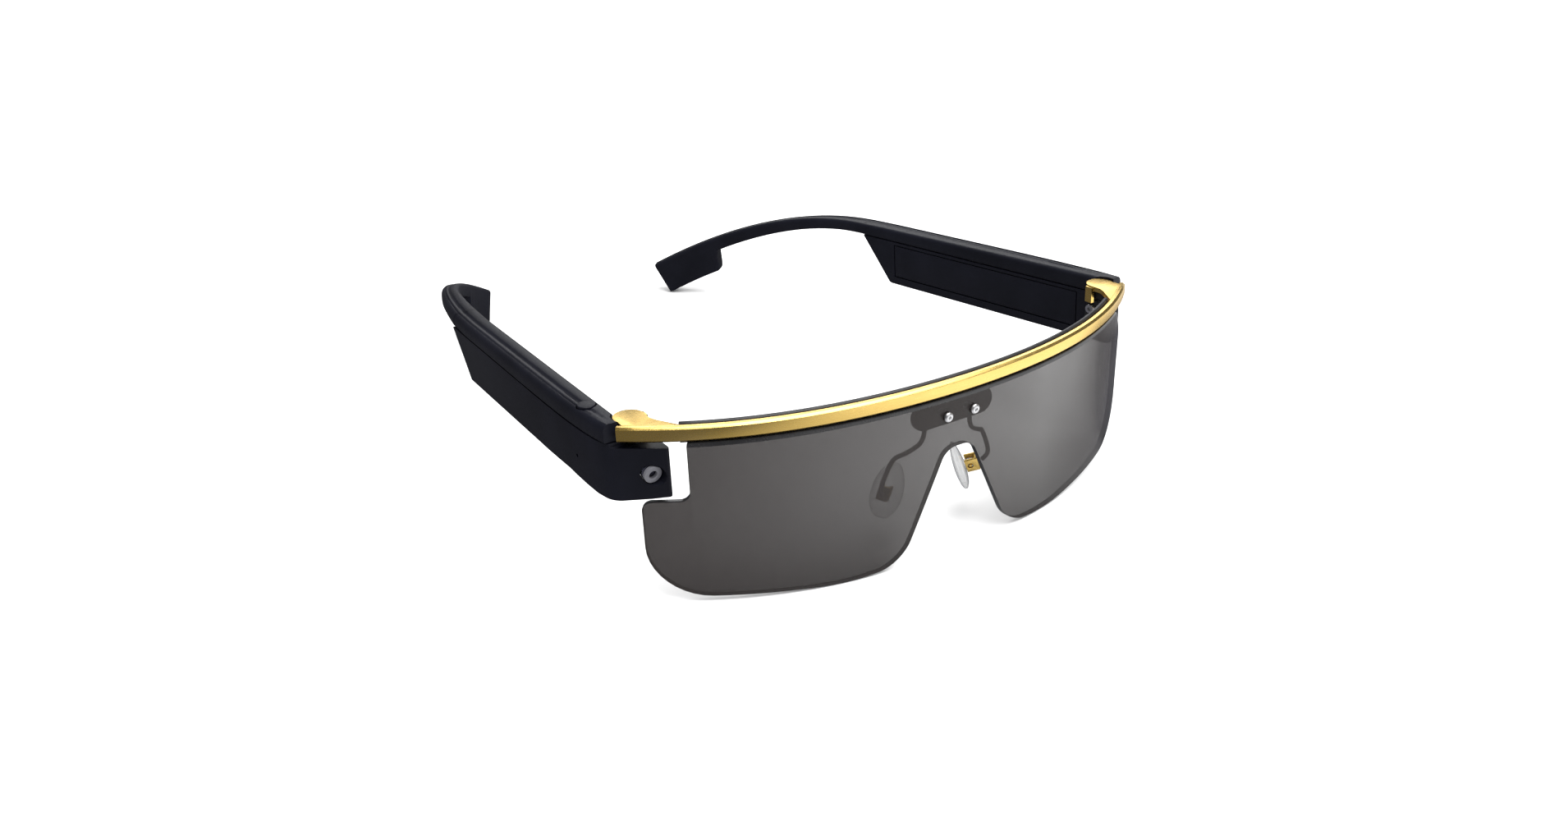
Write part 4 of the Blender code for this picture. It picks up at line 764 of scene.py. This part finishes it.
for axis, dark, bright in CARD_FADES:
    fade = nodes.new("ShaderNodeMapRange")
    fade.inputs["From Min"].default_value = dark
    fade.inputs["From Max"].default_value = bright
    links.new(split.outputs[axis], fade.inputs["Value"])
    fades.append(fade)
front_or_right = nodes.new("ShaderNodeMath")
front_or_right.operation = "MAXIMUM"
links.new(fades[1].outputs[0], front_or_right.inputs[0])
links.new(fades[2].outputs[0], front_or_right.inputs[1])
cards = nodes.new("ShaderNodeMath")
cards.operation = "MULTIPLY"
links.new(fades[0].outputs[0], cards.inputs[0])
links.new(front_or_right.outputs[0], cards.inputs[1])
seen = nodes.new("ShaderNodeLightPath")
reflected = nodes.new("ShaderNodeMix")
reflected.data_type = "RGBA"
reflected.inputs[6].default_value = CARD_DARK
reflected.inputs[7].default_value = CARD_BRIGHT
links.new(cards.outputs[0], reflected.inputs[0])
choose = nodes.new("ShaderNodeMix")
choose.data_type = "RGBA"
choose.inputs[6].default_value = FLOOR_WHITE
links.new(seen.outputs["Is Glossy Ray"], choose.inputs[0])
links.new(reflected.outputs[2], choose.inputs[7])
links.new(choose.outputs[2], shader.inputs["Base Color"])
FLOOR_HALF = 6.0
FLOOR_SINK = 0.05 * MM                  # just under the glasses, so no faces share a plane
bm = bmesh.new()
bmesh.ops.create_grid(bm, x_segments=1, y_segments=1, size=FLOOR_HALF)
bmesh.ops.translate(bm, verts=bm.verts, vec=(0, 0, -FLOOR_SINK))
floor_mesh = bpy.data.meshes.new("floor")
bm.to_mesh(floor_mesh)
bm.free()
floor = bpy.data.objects.new("floor", floor_mesh)
bpy.context.scene.collection.objects.link(floor)
floor_mesh.materials.append(floor_mat)


def soft_box(name, location, target, size, power):
    """A square area light that faces the target."""
    data = bpy.data.lights.new(name, "AREA")
    data.shape = "RECTANGLE"
    data.size, data.size_y = size
    data.energy = power
    light = bpy.data.objects.new(name, data)
    bpy.context.scene.collection.objects.link(light)
    light.location = location
    light.rotation_mode = "QUATERNION"
    light.rotation_quaternion = (Vector(target) - Vector(location)).to_track_quat("-Z", "Y")


soft_box("key", (0.10, -0.25, 0.85), (0, 0, 0.02), (0.8, 0.8), 11)
soft_box("rear_card", (0.5, 0.7, 0.45), (0, -0.064, 0.04), (0.75, 0.3), 2.3)
world = bpy.data.worlds.new("studio")
bpy.context.scene.world = world
world.use_nodes = True
nodes, links = world.node_tree.nodes, world.node_tree.links
background = nodes["Background"]
path = nodes.new("ShaderNodeLightPath")
strength = nodes.new("ShaderNodeMapRange")      # white to the eye, dim in reflections
strength.inputs["To Min"].default_value = 1.0
strength.inputs["To Max"].default_value = 0.12
links.new(path.outputs["Is Glossy Ray"], strength.inputs["Value"])
links.new(strength.outputs[0], background.inputs["Strength"])
background.inputs["Color"].default_value = (1, 1, 1, 1)
bpy.context.scene.view_settings.view_transform = "Standard"
